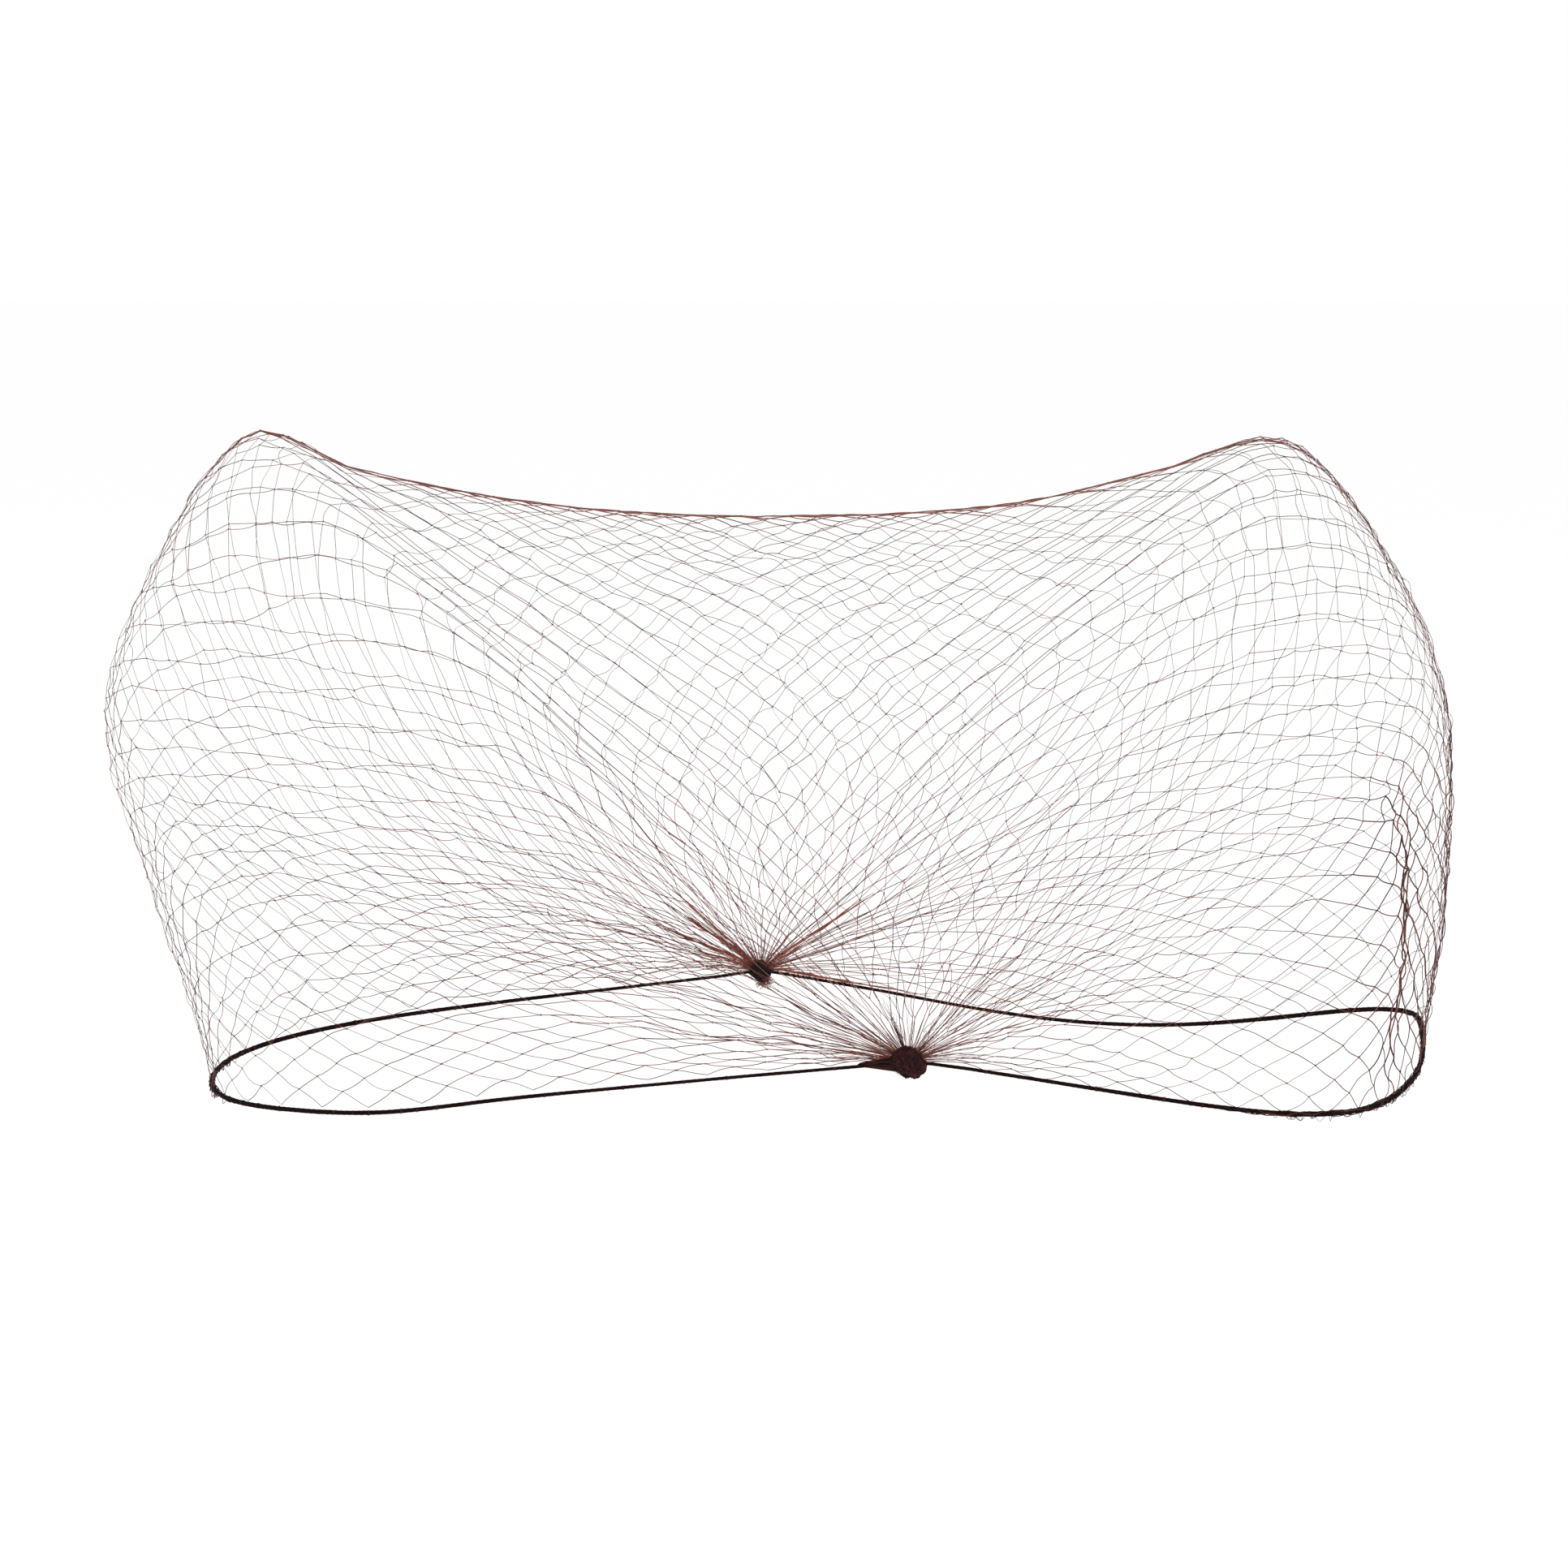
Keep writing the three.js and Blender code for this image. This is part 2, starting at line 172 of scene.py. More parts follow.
def on_net(across, along):
    """Points of the net's surface: share across, rim to rim, and share along, knot to knot."""
    shape = np.shape(across)
    across = np.clip(np.ravel(across), 0, 1)
    lines, lengths = net_lines(across)
    place = np.clip(np.ravel(along), 0, 1) * lengths[:, -1]
    step = np.clip((lengths < place[:, None]).sum(axis=1) - 1, 0, lines.shape[1] - 2)
    each = np.arange(len(lines))
    s = (place - lengths[each, step]) / (lengths[each, step + 1] - lengths[each, step])
    points = lines[each, step] * (1 - s[:, None]) + lines[each, step + 1] * s[:, None]
    return points.reshape(shape + (3,))


def net_normals(across, along, nudge=0.004):
    """Which way the net faces at points of its surface."""
    sideways = on_net(across + nudge, along) - on_net(across - nudge, along)
    lengthways = on_net(across, along + nudge) - on_net(across, along - nudge)
    normals = np.cross(sideways, lengthways)
    return normals / np.linalg.norm(normals, axis=-1, keepdims=True)


# Where each crossing of the net lies. The meshes are tied to one size of strand. They are pulled
# long near the knots and wide and flat over the crown, and their columns leave each knot in
# bundles, low to both sides, and bend upright towards the crown.
HALF_COLUMNS = 108
HALF_ROWS = 64
STRAND_LENGTH = 6.3 * MM
CROWN_WIDENING = 0.3
CROWN_REACH = 0.22
# Columns also stand wider apart where the sheet turns down from the crown to either end
SHOULDER_WIDENING = 0.45
SHOULDER_AWAY = 0.165
SHOULDER_WIDTH = 0.045
FAN_SPREAD = 1.55
FAN_FADE = 1.2
# Steps of the tables in which shares across are looked up
TABLE_STEPS = 401
# How far single crossings stray at random, and how much less they do so out of the sheet
ROUGH_JITTER = 0.4 * MM
JITTER_FLATTENING = 0.6
# Bundles that the columns draw into, how strongly, from how far towards the knot, and how the
# front and rear ones are shifted
FAN_BUNDLES = 15
BUNDLE_PULL = 0.8
BUNDLE_START = 0.35
FRONT_BUNDLE_PHASE = 3.7
REAR_BUNDLE_PHASE = 5.9
# How far the crossings stray across and along the net in slow waves
DRIFT_ACROSS = 0.010
DRIFT_ALONG = 0.012
# How sharply crossings are held in place next to a rim and a knot, and how well in the crease
RIM_HOLD = 14
KNOT_HOLD = 8
CREASE_HOLD = 0.85
# The rim's crossings sink this share of the way down to the middle of the elastic, and the last
# ones are drawn in to this share of their way from the knot's middle
RIM_SINK = 0.75
KNOT_DRAW_IN = 0.55

# How strongly the rows crowd about a middle row, and how far along from the outline that row
# lies: over the crown it is the sharp upper edge, and at the right end a fold in front of it.
# Columns: across, crowding, shift
CROWDING = np.array([
    (0.00, 0.20, 0.00),
    (0.22, 0.20, 0.00),
    (0.31, 0.50, 0.00),
    (0.69, 0.50, 0.00),
    (0.80, 0.55, -0.04),
    (1.00, 0.55, -0.04),
])
# The rows next to the sharp upper edge lie together as one dark line
EDGE_REACH = 0.24
EDGE_SHARE = 0.035
EDGE_CROWDING = 0.65
# A pleat in the front sheet near the right end draws its rows into one dark upright line
PLEAT_MIDDLE = 0.338
PLEAT_WIDTH = 0.06
PLEAT_ACROSS = 0.925
PLEAT_LENGTH = 0.07
PLEAT_PULL = 0.93
# The fold of the right end, and the low part of the net at the left rim
FOLD_START = 0.84
FOLD_BLEND = 0.05
FOLD_MIDDLE = 0.43
FOLD_WIDTH = 0.09
LOW_WIDTH = 0.12


def spaced_columns(share):
    """The share across of each column: they stand wider apart over the crown than at the ends."""
    table = np.linspace(0, 1, TABLE_STEPS)
    pitch = 1 + CROWN_WIDENING * np.exp(-(((table - 0.5) / CROWN_REACH) ** 4))
    from_shoulder = (np.abs(table - 0.5) - SHOULDER_AWAY) / SHOULDER_WIDTH
    pitch = pitch + SHOULDER_WIDENING * np.exp(-(from_shoulder**2))
    count = np.cumsum(1 / pitch) - 1 / pitch[0]
    return np.interp(share, count / count[-1], table)


def leaving_angles(table, knot, spread):
    """The angle above +X at which a line leaves its knot for each share across."""
    top = outline_at(table)
    rise = top[:, 1] - knot[2] - RIM_ABOVE_ELASTIC
    run = (top[:, 0] - knot[0]) * spread
    return np.unwrap(np.arctan2(rise, run) % (2 * math.pi))


def fanned(across, knot):
    """The share across at which a column leaves its knot, lower than it arrives at the crown."""
    table = np.linspace(0, 1, TABLE_STEPS)
    angles = leaving_angles(table, knot, 1)
    lowered = leaving_angles(table, knot, FAN_SPREAD)
    return np.interp(-np.interp(across, table, lowered), -angles, table)


def drift(seed, waves_across, waves_along, shape):
    """A smooth random field from -1 to 1 over the grid of crossings."""
    coarse = np.random.default_rng(seed).uniform(-1, 1, (waves_across, waves_along))
    over = np.linspace(0, waves_across - 1, shape[0])
    along = np.linspace(0, waves_along - 1, shape[1])
    rows = np.array([np.interp(along, np.arange(waves_along), line) for line in coarse])
    return np.array([np.interp(over, np.arange(waves_across), line) for line in rows.T]).T


column, row = np.meshgrid(np.arange(HALF_COLUMNS + 1), np.arange(HALF_ROWS + 1), indexing="ij")
at_crown = spaced_columns(column / HALF_COLUMNS)
lengths = net_lines(at_crown[:, 0])[1]
crest = (lengths[:, LINE_STEPS] / lengths[:, -1])[:, None]
in_front = row < HALF_ROWS / 2
crown = np.exp(-(((at_crown - 0.5) / EDGE_REACH) ** 4))
crowding = np.interp(at_crown, CROWDING[:, 0], CROWDING[:, 1])
middle_along = crest + np.interp(at_crown, CROWDING[:, 0], CROWDING[:, 2])
towards_knot = np.abs(2 * row / HALF_ROWS - 1) ** (1 + crowding)
at_edge = np.exp(-((towards_knot / EDGE_SHARE) ** 2))
towards_knot = towards_knot * (1 - EDGE_CROWDING * crown * at_edge)
crease = crown * np.exp(-((towards_knot / EDGE_SHARE) ** 2))
# Crossings next to a rim, a knot or the crease keep their places
off_rim = np.clip(RIM_HOLD * np.minimum(at_crown, 1 - at_crown), 0, 1)
off_knot = np.clip(KNOT_HOLD * (1 - towards_knot), 0, 1)
free = off_rim * off_knot * (1 - CREASE_HOLD * crease)

low = np.where(in_front, fanned(at_crown, FRONT_KNOT), fanned(at_crown, REAR_KNOT))
across = at_crown + (low - at_crown) * towards_knot**FAN_FADE
bundle_turn = 2 * math.pi * FAN_BUNDLES
in_bundle = np.clip((towards_knot - BUNDLE_START) / (1 - BUNDLE_START), 0, 1)
bundle_pull = BUNDLE_PULL * in_bundle**1.5
bundle_phase = np.where(in_front, FRONT_BUNDLE_PHASE, REAR_BUNDLE_PHASE)
bundle_wave = np.sin(bundle_turn * across + bundle_phase)
across = across + off_rim * bundle_pull * bundle_wave / bundle_turn
across = across + free * DRIFT_ACROSS * drift(4, 15, 9, across.shape)
to_knot = np.where(in_front, -middle_along, 1 - middle_along)
along = middle_along + to_knot * towards_knot
in_pleat = np.exp(-(((across - PLEAT_ACROSS) / PLEAT_LENGTH) ** 4))
in_pleat = in_pleat * np.exp(-(((along - PLEAT_MIDDLE) / PLEAT_WIDTH) ** 2))
in_fold = np.exp(-(((along - FOLD_MIDDLE) / FOLD_WIDTH) ** 2))
in_fold = np.clip((at_crown - FOLD_START) / FOLD_BLEND, 0, 1) * in_fold
near_rim = np.exp(-((at_crown / LOW_WIDTH) ** 2))
along = along + PLEAT_PULL * (PLEAT_MIDDLE - along) * in_pleat
along = along + free * DRIFT_ALONG * drift(5, 17, 11, across.shape)

crossings = on_net(across, along)
normals = net_normals(across, along)
jitter = np.random.default_rng(7).normal(0, ROUGH_JITTER, crossings.shape)
jitter -= JITTER_FLATTENING * normals * (jitter * normals).sum(axis=-1, keepdims=True)
crossings += jitter * free[..., None]
crossings[[0, -1], :, 2] -= RIM_SINK * RIM_ABOVE_ELASTIC
crossings[:, 0] = FRONT_KNOT + (crossings[:, 0] - FRONT_KNOT) * KNOT_DRAW_IN
crossings[:, -1] = REAR_KNOT + (crossings[:, -1] - REAR_KNOT) * KNOT_DRAW_IN


def strand_places(rows):
    """The column and half row of both ends of each strand, for the half rows asked."""
    places = []
    for near_column in range(HALF_COLUMNS):
        for near_row in rows:
            if (near_column + near_row) % 2 == 0:
                for far_row in (near_row - 1, near_row + 1):
                    if min(rows) <= far_row <= max(rows):
                        places.append((near_column, near_row, near_column + 1, far_row))
    return np.array(places).T


# Threads of the net: fine twisted nylon, reddish brown, a little glossy. A strand between two
# crossings hangs in a slack curve where it is longer than its gap, and is straight where taut.
THREAD_RADIUS = 0.056 * MM
# The most spare length of a strand, as a share of its gap, and the deepest that it hangs
MOST_SPARE = 0.45
DEEPEST_HANG = 0.8 * MM
# How loose a taut strand is beside a slack one, and how much less loose one in the crease is
TAUT_LOOSENESS = 0.5
CREASE_TAUTNESS = 0.8


class Amount:
    """A shader value. Arithmetic on it adds Math nodes to its tree."""

    def __init__(self, tree, socket):
        self.tree = tree
        self.socket = socket

    def combine(self, operation, first, second):
        node = self.tree.nodes.new("ShaderNodeMath")
        node.operation = operation
        for place, value in enumerate((first, second)):
            if isinstance(value, Amount):
                self.tree.links.new(value.socket, node.inputs[place])
            elif value is not None:
                node.inputs[place].default_value = value
        return Amount(self.tree, node.outputs[0])

    def __add__(self, other):
        return self.combine("ADD", self, other)

    __radd__ = __add__

    def __sub__(self, other):
        return self.combine("SUBTRACT", self, other)

    def __rsub__(self, other):
        return self.combine("SUBTRACT", other, self)

    def __mul__(self, other):
        return self.combine("MULTIPLY", self, other)

    __rmul__ = __mul__

    def sine(self):
        return self.combine("SINE", self, None)


def add_node(tree, kind, settings, sockets):
    """One node of a tree: its settings first, then the values or links of its sockets."""
    node = tree.nodes.new(kind)
    for name, value in settings.items():
        setattr(node, name, value)
    for key, value in sockets.items():
        if isinstance(value, Amount):
            value = value.socket
        if isinstance(value, bpy.types.NodeSocket):
            tree.links.new(value, node.inputs[key])
        else:
            node.inputs[key].default_value = value
    return node


def add_ramp(tree, factor, stops):
    """A colour ramp, each stop a place and a colour."""
    node = add_node(tree, "ShaderNodeValToRGB", {}, {"Fac": factor})
    ramp = node.color_ramp
    while len(ramp.elements) < len(stops):
        ramp.elements.new(0.5)
    for element, (place, colour) in zip(ramp.elements, stops):
        element.position = place
        element.color = (*colour, 1)
    return node.outputs["Color"]


def start_material(name):
    """A new material with its node tree and its shader."""
    material = bpy.data.materials.new(name)
    material.use_nodes = True
    tree = material.node_tree
    return material, tree, tree.nodes["Principled BSDF"]


def thread_material(name, dark, middle, light, roughness):
    """Twisted thread: each strand its own tone, with a fine uneven dye and a fibrous bump."""
    material, tree, shader = start_material(name)
    tone = add_node(tree, "ShaderNodeAttribute", {"attribute_name": "tone"}, {}).outputs["Fac"]
    place = add_node(tree, "ShaderNodeTexCoord", {}, {}).outputs["Object"]
    dye = add_node(tree, "ShaderNodeTexNoise", {}, {"Vector": place, "Scale": 420.0, "Detail": 4.0})
    fibre = add_node(tree, "ShaderNodeTexNoise", {}, {"Vector": place, "Scale": 5200.0, "Detail": 3.0})
    mix = Amount(tree, tone) * 0.62 + Amount(tree, dye.outputs["Fac"]) * 0.38
    colour = add_ramp(tree, mix, [(0.18, dark), (0.5, middle), (0.85, light)])
    tree.links.new(colour, shader.inputs["Base Color"])
    shader.inputs["Specular IOR Level"].default_value = 0.25
    rough = Amount(tree, fibre.outputs["Fac"]) * 0.25 + (roughness - 0.12)
    tree.links.new(rough.socket, shader.inputs["Roughness"])
    bump = add_node(
        tree,
        "ShaderNodeBump",
        {},
        {"Height": fibre.outputs["Fac"], "Strength": 0.6, "Distance": 0.03 * MM},
    )
    tree.links.new(bump.outputs["Normal"], shader.inputs["Normal"])
    return material


net_thread = thread_material(
    "net_thread",
    dark=(0.030, 0.011, 0.009),
    middle=(0.110, 0.034, 0.026),
    light=(0.240, 0.085, 0.062),
    roughness=0.55,
)


def start_tree(name, sizes):
    """A Geometry Nodes tree with a geometry input and named inputs for its sizes."""
    tree = bpy.data.node_groups.new(name, "GeometryNodeTree")
    tree.interface.new_socket(name="Geometry", in_out="INPUT", socket_type="NodeSocketGeometry")
    for size_name, kind in sizes.items():
        tree.interface.new_socket(name=size_name, in_out="INPUT", socket_type=kind)
    tree.interface.new_socket(name="Geometry", in_out="OUTPUT", socket_type="NodeSocketGeometry")
    return tree, tree.nodes.new("NodeGroupInput"), tree.nodes.new("NodeGroupOutput")


def finish_tree(tree, last, outlet, material):
    """Ends a tree with real, smooth, painted geometry."""
    smooth = add_node(tree, "GeometryNodeSetShadeSmooth", {}, {"Geometry": last})
    real = add_node(tree, "GeometryNodeRealizeInstances", {}, {"Geometry": smooth.outputs[0]})
    painted = add_node(
        tree, "GeometryNodeSetMaterial", {}, {"Geometry": real.outputs[0], "Material": material}
    )
    tree.links.new(painted.outputs[0], outlet.inputs[0])
    return tree


def named(tree, name, kind):
    """An attribute of the layout mesh."""
    node = add_node(tree, "GeometryNodeInputNamedAttribute", {"data_type": kind}, {"Name": name})
    return node.outputs["Attribute"]


def strand_tree(material):
    """Bends each straight strand by its bow and wave, and gives it a round section."""
    sizes = {"Radius": "NodeSocketFloat", "Points": "NodeSocketInt", "Sides": "NodeSocketInt"}
    tree, inlet, outlet = start_tree("strand_tree_" + material.name, sizes)
    curve = add_node(tree, "GeometryNodeMeshToCurve", {}, {"Mesh": inlet.outputs["Geometry"]})
    finer = add_node(
        tree,
        "GeometryNodeResampleCurve",
        {},
        {"Curve": curve.outputs[0], "Count": inlet.outputs["Points"]},
    )
    factor = Amount(tree, add_node(tree, "GeometryNodeSplineParameter", {}, {}).outputs["Factor"])
    arch = 4 * factor * (1 - factor)
    swing = (factor * (2 * math.pi)).sine()
    bow = add_node(
        tree,
        "ShaderNodeVectorMath",
        {"operation": "SCALE"},
        {0: named(tree, "bow", "FLOAT_VECTOR"), "Scale": arch},
    )
    wave = add_node(
        tree,
        "ShaderNodeVectorMath",
        {"operation": "SCALE"},
        {0: named(tree, "wave", "FLOAT_VECTOR"), "Scale": swing},
    )
    both = add_node(
        tree, "ShaderNodeVectorMath", {"operation": "ADD"}, {0: bow.outputs[0], 1: wave.outputs[0]}
    )
    bent = add_node(
        tree,
        "GeometryNodeSetPosition",
        {},
        {"Geometry": finer.outputs[0], "Offset": both.outputs[0]},
    )
    return close_thread(tree, inlet, outlet, bent.outputs[0], material)


def close_thread(tree, inlet, outlet, curve, material):
    """Gives curves a round section whose size follows the thick attribute."""
    ring = add_node(
        tree,
        "GeometryNodeCurvePrimitiveCircle",
        {},
        {"Resolution": inlet.outputs["Sides"], "Radius": inlet.outputs["Radius"]},
    )
    tube = add_node(
        tree,
        "GeometryNodeCurveToMesh",
        {},
        {
            "Curve": curve,
            "Profile Curve": ring.outputs[0],
            "Scale": named(tree, "thick", "FLOAT"),
            "Fill Caps": True,
        },
    )
    return finish_tree(tree, tube.outputs[0], outlet, material)


def path_tree(material):
    """Gives whole paths of thread a round section."""
    sizes = {"Radius": "NodeSocketFloat", "Sides": "NodeSocketInt"}
    tree, inlet, outlet = start_tree("path_tree_" + material.name, sizes)
    curve = add_node(tree, "GeometryNodeMeshToCurve", {}, {"Mesh": inlet.outputs["Geometry"]})
    return close_thread(tree, inlet, outlet, curve.outputs[0], material)


def settle(name, points, edges, attributes, tree, sizes):
    """Runs a tree over a plain mesh and leaves its result as a piece of the net."""
    source = bpy.data.meshes.new(name + "_layout")
    source.from_pydata(points, edges, [])
    for key, values in attributes.items():
        values = np.asarray(values, dtype=np.float32)
        kind = "FLOAT" if values.ndim == 1 else "FLOAT_VECTOR"
        layer = source.attributes.new(key, kind, "POINT")
        layer.data.foreach_set("value" if values.ndim == 1 else "vector", values.ravel())
    layout = bpy.data.objects.new(name + "_layout", source)
    bpy.context.collection.objects.link(layout)
    modifier = layout.modifiers.new("making", "NODES")
    modifier.node_group = tree
    for socket in tree.interface.items_tree:
        if socket.in_out == "INPUT" and socket.name in sizes:
            modifier[socket.identifier] = sizes[socket.name]
    made = layout.evaluated_get(bpy.context.evaluated_depsgraph_get())
    piece = bpy.data.objects.new(name, bpy.data.meshes.new_from_object(made))
    bpy.context.collection.objects.link(piece)
    bpy.data.objects.remove(layout)
    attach(piece, "root")
    return piece


def lay_strands(name, starts, ends, bow, wave, thick, tone, tree, sizes):
    """Short threads, each from its start to its end."""
    points = np.stack([starts, ends], axis=1).reshape(-1, 3)
    edges = np.arange(len(points)).reshape(-1, 2)
    attributes = {
        "bow": np.repeat(bow, 2, axis=0),
        "wave": np.repeat(wave, 2, axis=0),
        "thick": np.repeat(thick, 2),
        "tone": np.repeat(tone, 2),
    }
    return settle(name, points.tolist(), edges.tolist(), attributes, tree, sizes)


def lay_paths(name, paths, thick, tone, tree, sizes):
    """Long threads, each a list of points, with one tone each or one at every point."""
    points = np.concatenate(paths)
    edges = []
    start = 0
    for path in paths:
        edges += [(start + k, start + k + 1) for k in range(len(path) - 1)]
        start += len(path)
    tones = [value + np.zeros(len(path)) for value, path in zip(tone, paths)]
    attributes = {"thick": np.concatenate(thick), "tone": np.concatenate(tones)}
    return settle(name, points.tolist(), edges, attributes, tree, sizes)


def unit(vectors):
    """The same directions, one long."""
    return vectors / np.maximum(np.linalg.norm(vectors, axis=-1, keepdims=True), 1e-9)


def hang(starts, ends, loose, draw):
    """The bow and wave of strands of one length, slack where their ends lie closer than that."""
    span = np.linalg.norm(ends - starts, axis=1)
    spare = np.clip(STRAND_LENGTH / span - 1, 0, MOST_SPARE)
    arc_height = span * np.sqrt(0.375 * spare)
    height = np.minimum(arc_height, DEEPEST_HANG) * draw.uniform(0.2, 1, len(span))
    height = height + draw.uniform(0.02, 0.2, len(span)) * MM
    straight = unit(ends - starts)
    way = unit(draw.normal(0, 1, starts.shape)) + np.array([0, 0, -0.25])
    way = unit(way - straight * (way * straight).sum(axis=1, keepdims=True))
    bow = way * (height * loose)[:, None]
    wave_height = draw.uniform(0.03, 0.18, len(span)) * MM * loose
    wave = unit(draw.normal(0, 1, starts.shape)) * wave_height[:, None]
    return bow, wave


net_strands = strand_tree(net_thread)
STRAND_SIZES = {"Radius": THREAD_RADIUS, "Points": 5, "Sides": 4}
TAUT_THICKNESS = 1.08
SLACK_THICKNESS = 0.84
CREASE_THICKNESS = 1.9
KNOT_THICKENING = 0.25
PLEAT_THICKENING = 1.8
# Where threads of both sides lie close: in the fold of the right end, and low at the left rim
FOLD_THICKENING = 0.2
LOW_THICKENING = 0.15
# How much redder the threads look where they lie together
GATHERED_TONE = 0.45
CREASE_TONE = 1.5
# How far towards a knot the threads start to lie together, and over what share
NEAR_KNOT_START = 0.35
NEAR_KNOT_BLEND = 0.5
middle_row = HALF_ROWS // 2
for part_name, rows, side, seed in (
    ("net_threads_front", range(0, middle_row + 1), 1, 11),
    ("net_threads_rear", range(middle_row, HALF_ROWS + 1), -1, 12),
):
    columns, near_rows, far_columns, far_rows = strand_places(rows)
    draw = np.random.default_rng(seed)
    # The strands that run from a knot out to the nearer upper corner carry the pull
    is_taut = (far_rows - near_rows) * (columns - HALF_COLUMNS / 2) * side > 0
    in_crease = crease[columns, near_rows]
    loose = np.where(is_taut, TAUT_LOOSENESS, 1.0) * (1 - CREASE_TAUTNESS * in_crease)
    starts = crossings[columns, near_rows]
    ends = crossings[far_columns, far_rows]
    bow, wave = hang(starts, ends, loose, draw)
    thick = np.where(is_taut, TAUT_THICKNESS, SLACK_THICKNESS)
    thick = thick + (CREASE_THICKNESS - thick) * in_crease
    near_knot = (towards_knot[columns, near_rows] - NEAR_KNOT_START) / NEAR_KNOT_BLEND
    near_knot = np.clip(near_knot, 0, 1)
    thick = thick * (1 + KNOT_THICKENING * near_knot)
    thick = thick * (1 + PLEAT_THICKENING * in_pleat[columns, near_rows])
    thick = thick * (1 + FOLD_THICKENING * in_fold[columns, near_rows])
    thick = thick * (1 + LOW_THICKENING * near_rim[columns, near_rows])
    thick = thick * draw.normal(1.0, 0.1, len(thick)).clip(0.75, 1.3)
    together = near_knot + CREASE_TONE * in_crease
    tone = draw.uniform(0, 1, len(thick)) + GATHERED_TONE * together
    threads = lay_strands(
        part_name, starts, ends, bow, wave, thick, tone, net_strands, STRAND_SIZES
    )
    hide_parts("net_crown")


# Crossings of the net: each is a small tight hitch, two turns of the same thread round the
# strands that meet there, lying in the sheet.
HITCH_RADIUS = 0.09 * MM
HITCH_LENGTH = 0.42 * MM
HITCH_TURNS = 2.0
HITCH_POINTS_PER_TURN = 5
HITCH_SIDES = 3


def hitch_tree(material):
    """Sets a small coil of thread at each crossing, lying the way its attribute says."""
    sizes = {
        "Radius": "NodeSocketFloat",
        "Coil Radius": "NodeSocketFloat",
        "Coil Length": "NodeSocketFloat",
        "Turns": "NodeSocketFloat",
    }
    tree, inlet, outlet = start_tree("hitch_tree_" + material.name, sizes)
    coil = add_node(
        tree,
        "GeometryNodeCurveSpiral",
        {},
        {
            "Resolution": HITCH_POINTS_PER_TURN,
            "Rotations": inlet.outputs["Turns"],
            "Start Radius": inlet.outputs["Coil Radius"],
            "End Radius": inlet.outputs["Coil Radius"],
            "Height": inlet.outputs["Coil Length"],
        },
    )
    ring = add_node(
        tree,
        "GeometryNodeCurvePrimitiveCircle",
        {},
        {"Resolution": HITCH_SIDES, "Radius": inlet.outputs["Radius"]},
    )
    tube = add_node(
        tree,
        "GeometryNodeCurveToMesh",
        {},
        {"Curve": coil.outputs[0], "Profile Curve": ring.outputs[0], "Fill Caps": True},
    )
    half = Amount(tree, inlet.outputs["Coil Length"]) * -0.5
    back = add_node(tree, "ShaderNodeCombineXYZ", {}, {"Z": half})
    centred = add_node(
        tree,
        "GeometryNodeTransform",
        {},
        {"Geometry": tube.outputs[0], "Translation": back.outputs[0]},
    )
    turned = add_node(
        tree,
        "FunctionNodeAlignRotationToVector",
        {"axis": "Z"},
        {"Vector": named(tree, "lie", "FLOAT_VECTOR")},
    )
    coils = add_node(
        tree,
        "GeometryNodeInstanceOnPoints",
        {},
        {
            "Points": inlet.outputs["Geometry"],
            "Instance": centred.outputs[0],
            "Rotation": turned.outputs[0],
            "Scale": named(tree, "thick", "FLOAT"),
        },
    )
    return finish_tree(tree, coils.outputs[0], outlet, material)


net_hitches = hitch_tree(net_thread)
HITCH_SIZES = {
    "Radius": THREAD_RADIUS * 1.1,
    "Coil Radius": HITCH_RADIUS,
    "Coil Length": HITCH_LENGTH,
    "Turns": HITCH_TURNS,
}
for part_name, rows, seed in (
    ("net_hitches_front", range(2, middle_row), 21),
    ("net_hitches_rear", range(middle_row, HALF_ROWS - 1), 22),
):
    spots = [(c, r) for c in range(1, HALF_COLUMNS) for r in rows if (c + r) % 2 == 0]
    columns, spot_rows = np.array(spots).T
    draw = np.random.default_rng(seed)
    sideways = crossings[columns + 1, spot_rows] - crossings[columns - 1, spot_rows]
    lie = unit(unit(sideways) + draw.normal(0, 0.55, sideways.shape))
    attributes = {
        "lie": lie,
        "thick": draw.uniform(0.7, 1.15, len(spots)),
        "tone": draw.uniform(0.1, 0.9, len(spots)),
    }
    points = crossings[columns, spot_rows].tolist()
    hitches = settle(part_name, points, [], attributes, net_hitches, HITCH_SIZES)
    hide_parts("net_crown")


# The elastic edge: one closed loop of rubber core covered with brown-black thread. It runs along
# both rims of the net, just below it, and straight through the two knots.
ELASTIC_STEPS_PER_RUN = 44
ELASTIC_RINGS = 3000
ELASTIC_SIDES = 10
COVER_PITCH = 0.42 * MM
# Share of ELASTIC_RADIUS at the knots, where it is drawn thin, and round both ends
TAUT_SIZE = 0.74
SLACK_SIZE = 1.12
# How far from the middle the elastic is slack again, and over what stretch it gets so
SLACK_FROM = 112 * MM
SLACK_BLEND = 85 * MM
# Shares of its radius by which it is lumpy, and by which turns of the cover stand out
LUMPINESS = 0.05
COVER_RIDGE = 0.035


def elastic_route():
    """Points of the elastic: both rims of the net, just below them, and the two knots."""
    shares = np.arange(1, ELASTIC_STEPS_PER_RUN) / ELASTIC_STEPS_PER_RUN
    drop = np.array([0, 0, -RIM_ABOVE_ELASTIC])
    left = on_net(np.zeros(len(shares)), shares) + drop
    right = on_net(np.ones(len(shares)), shares[::-1]) + drop
    return np.concatenate([[FRONT_KNOT], left, [REAR_KNOT], right])


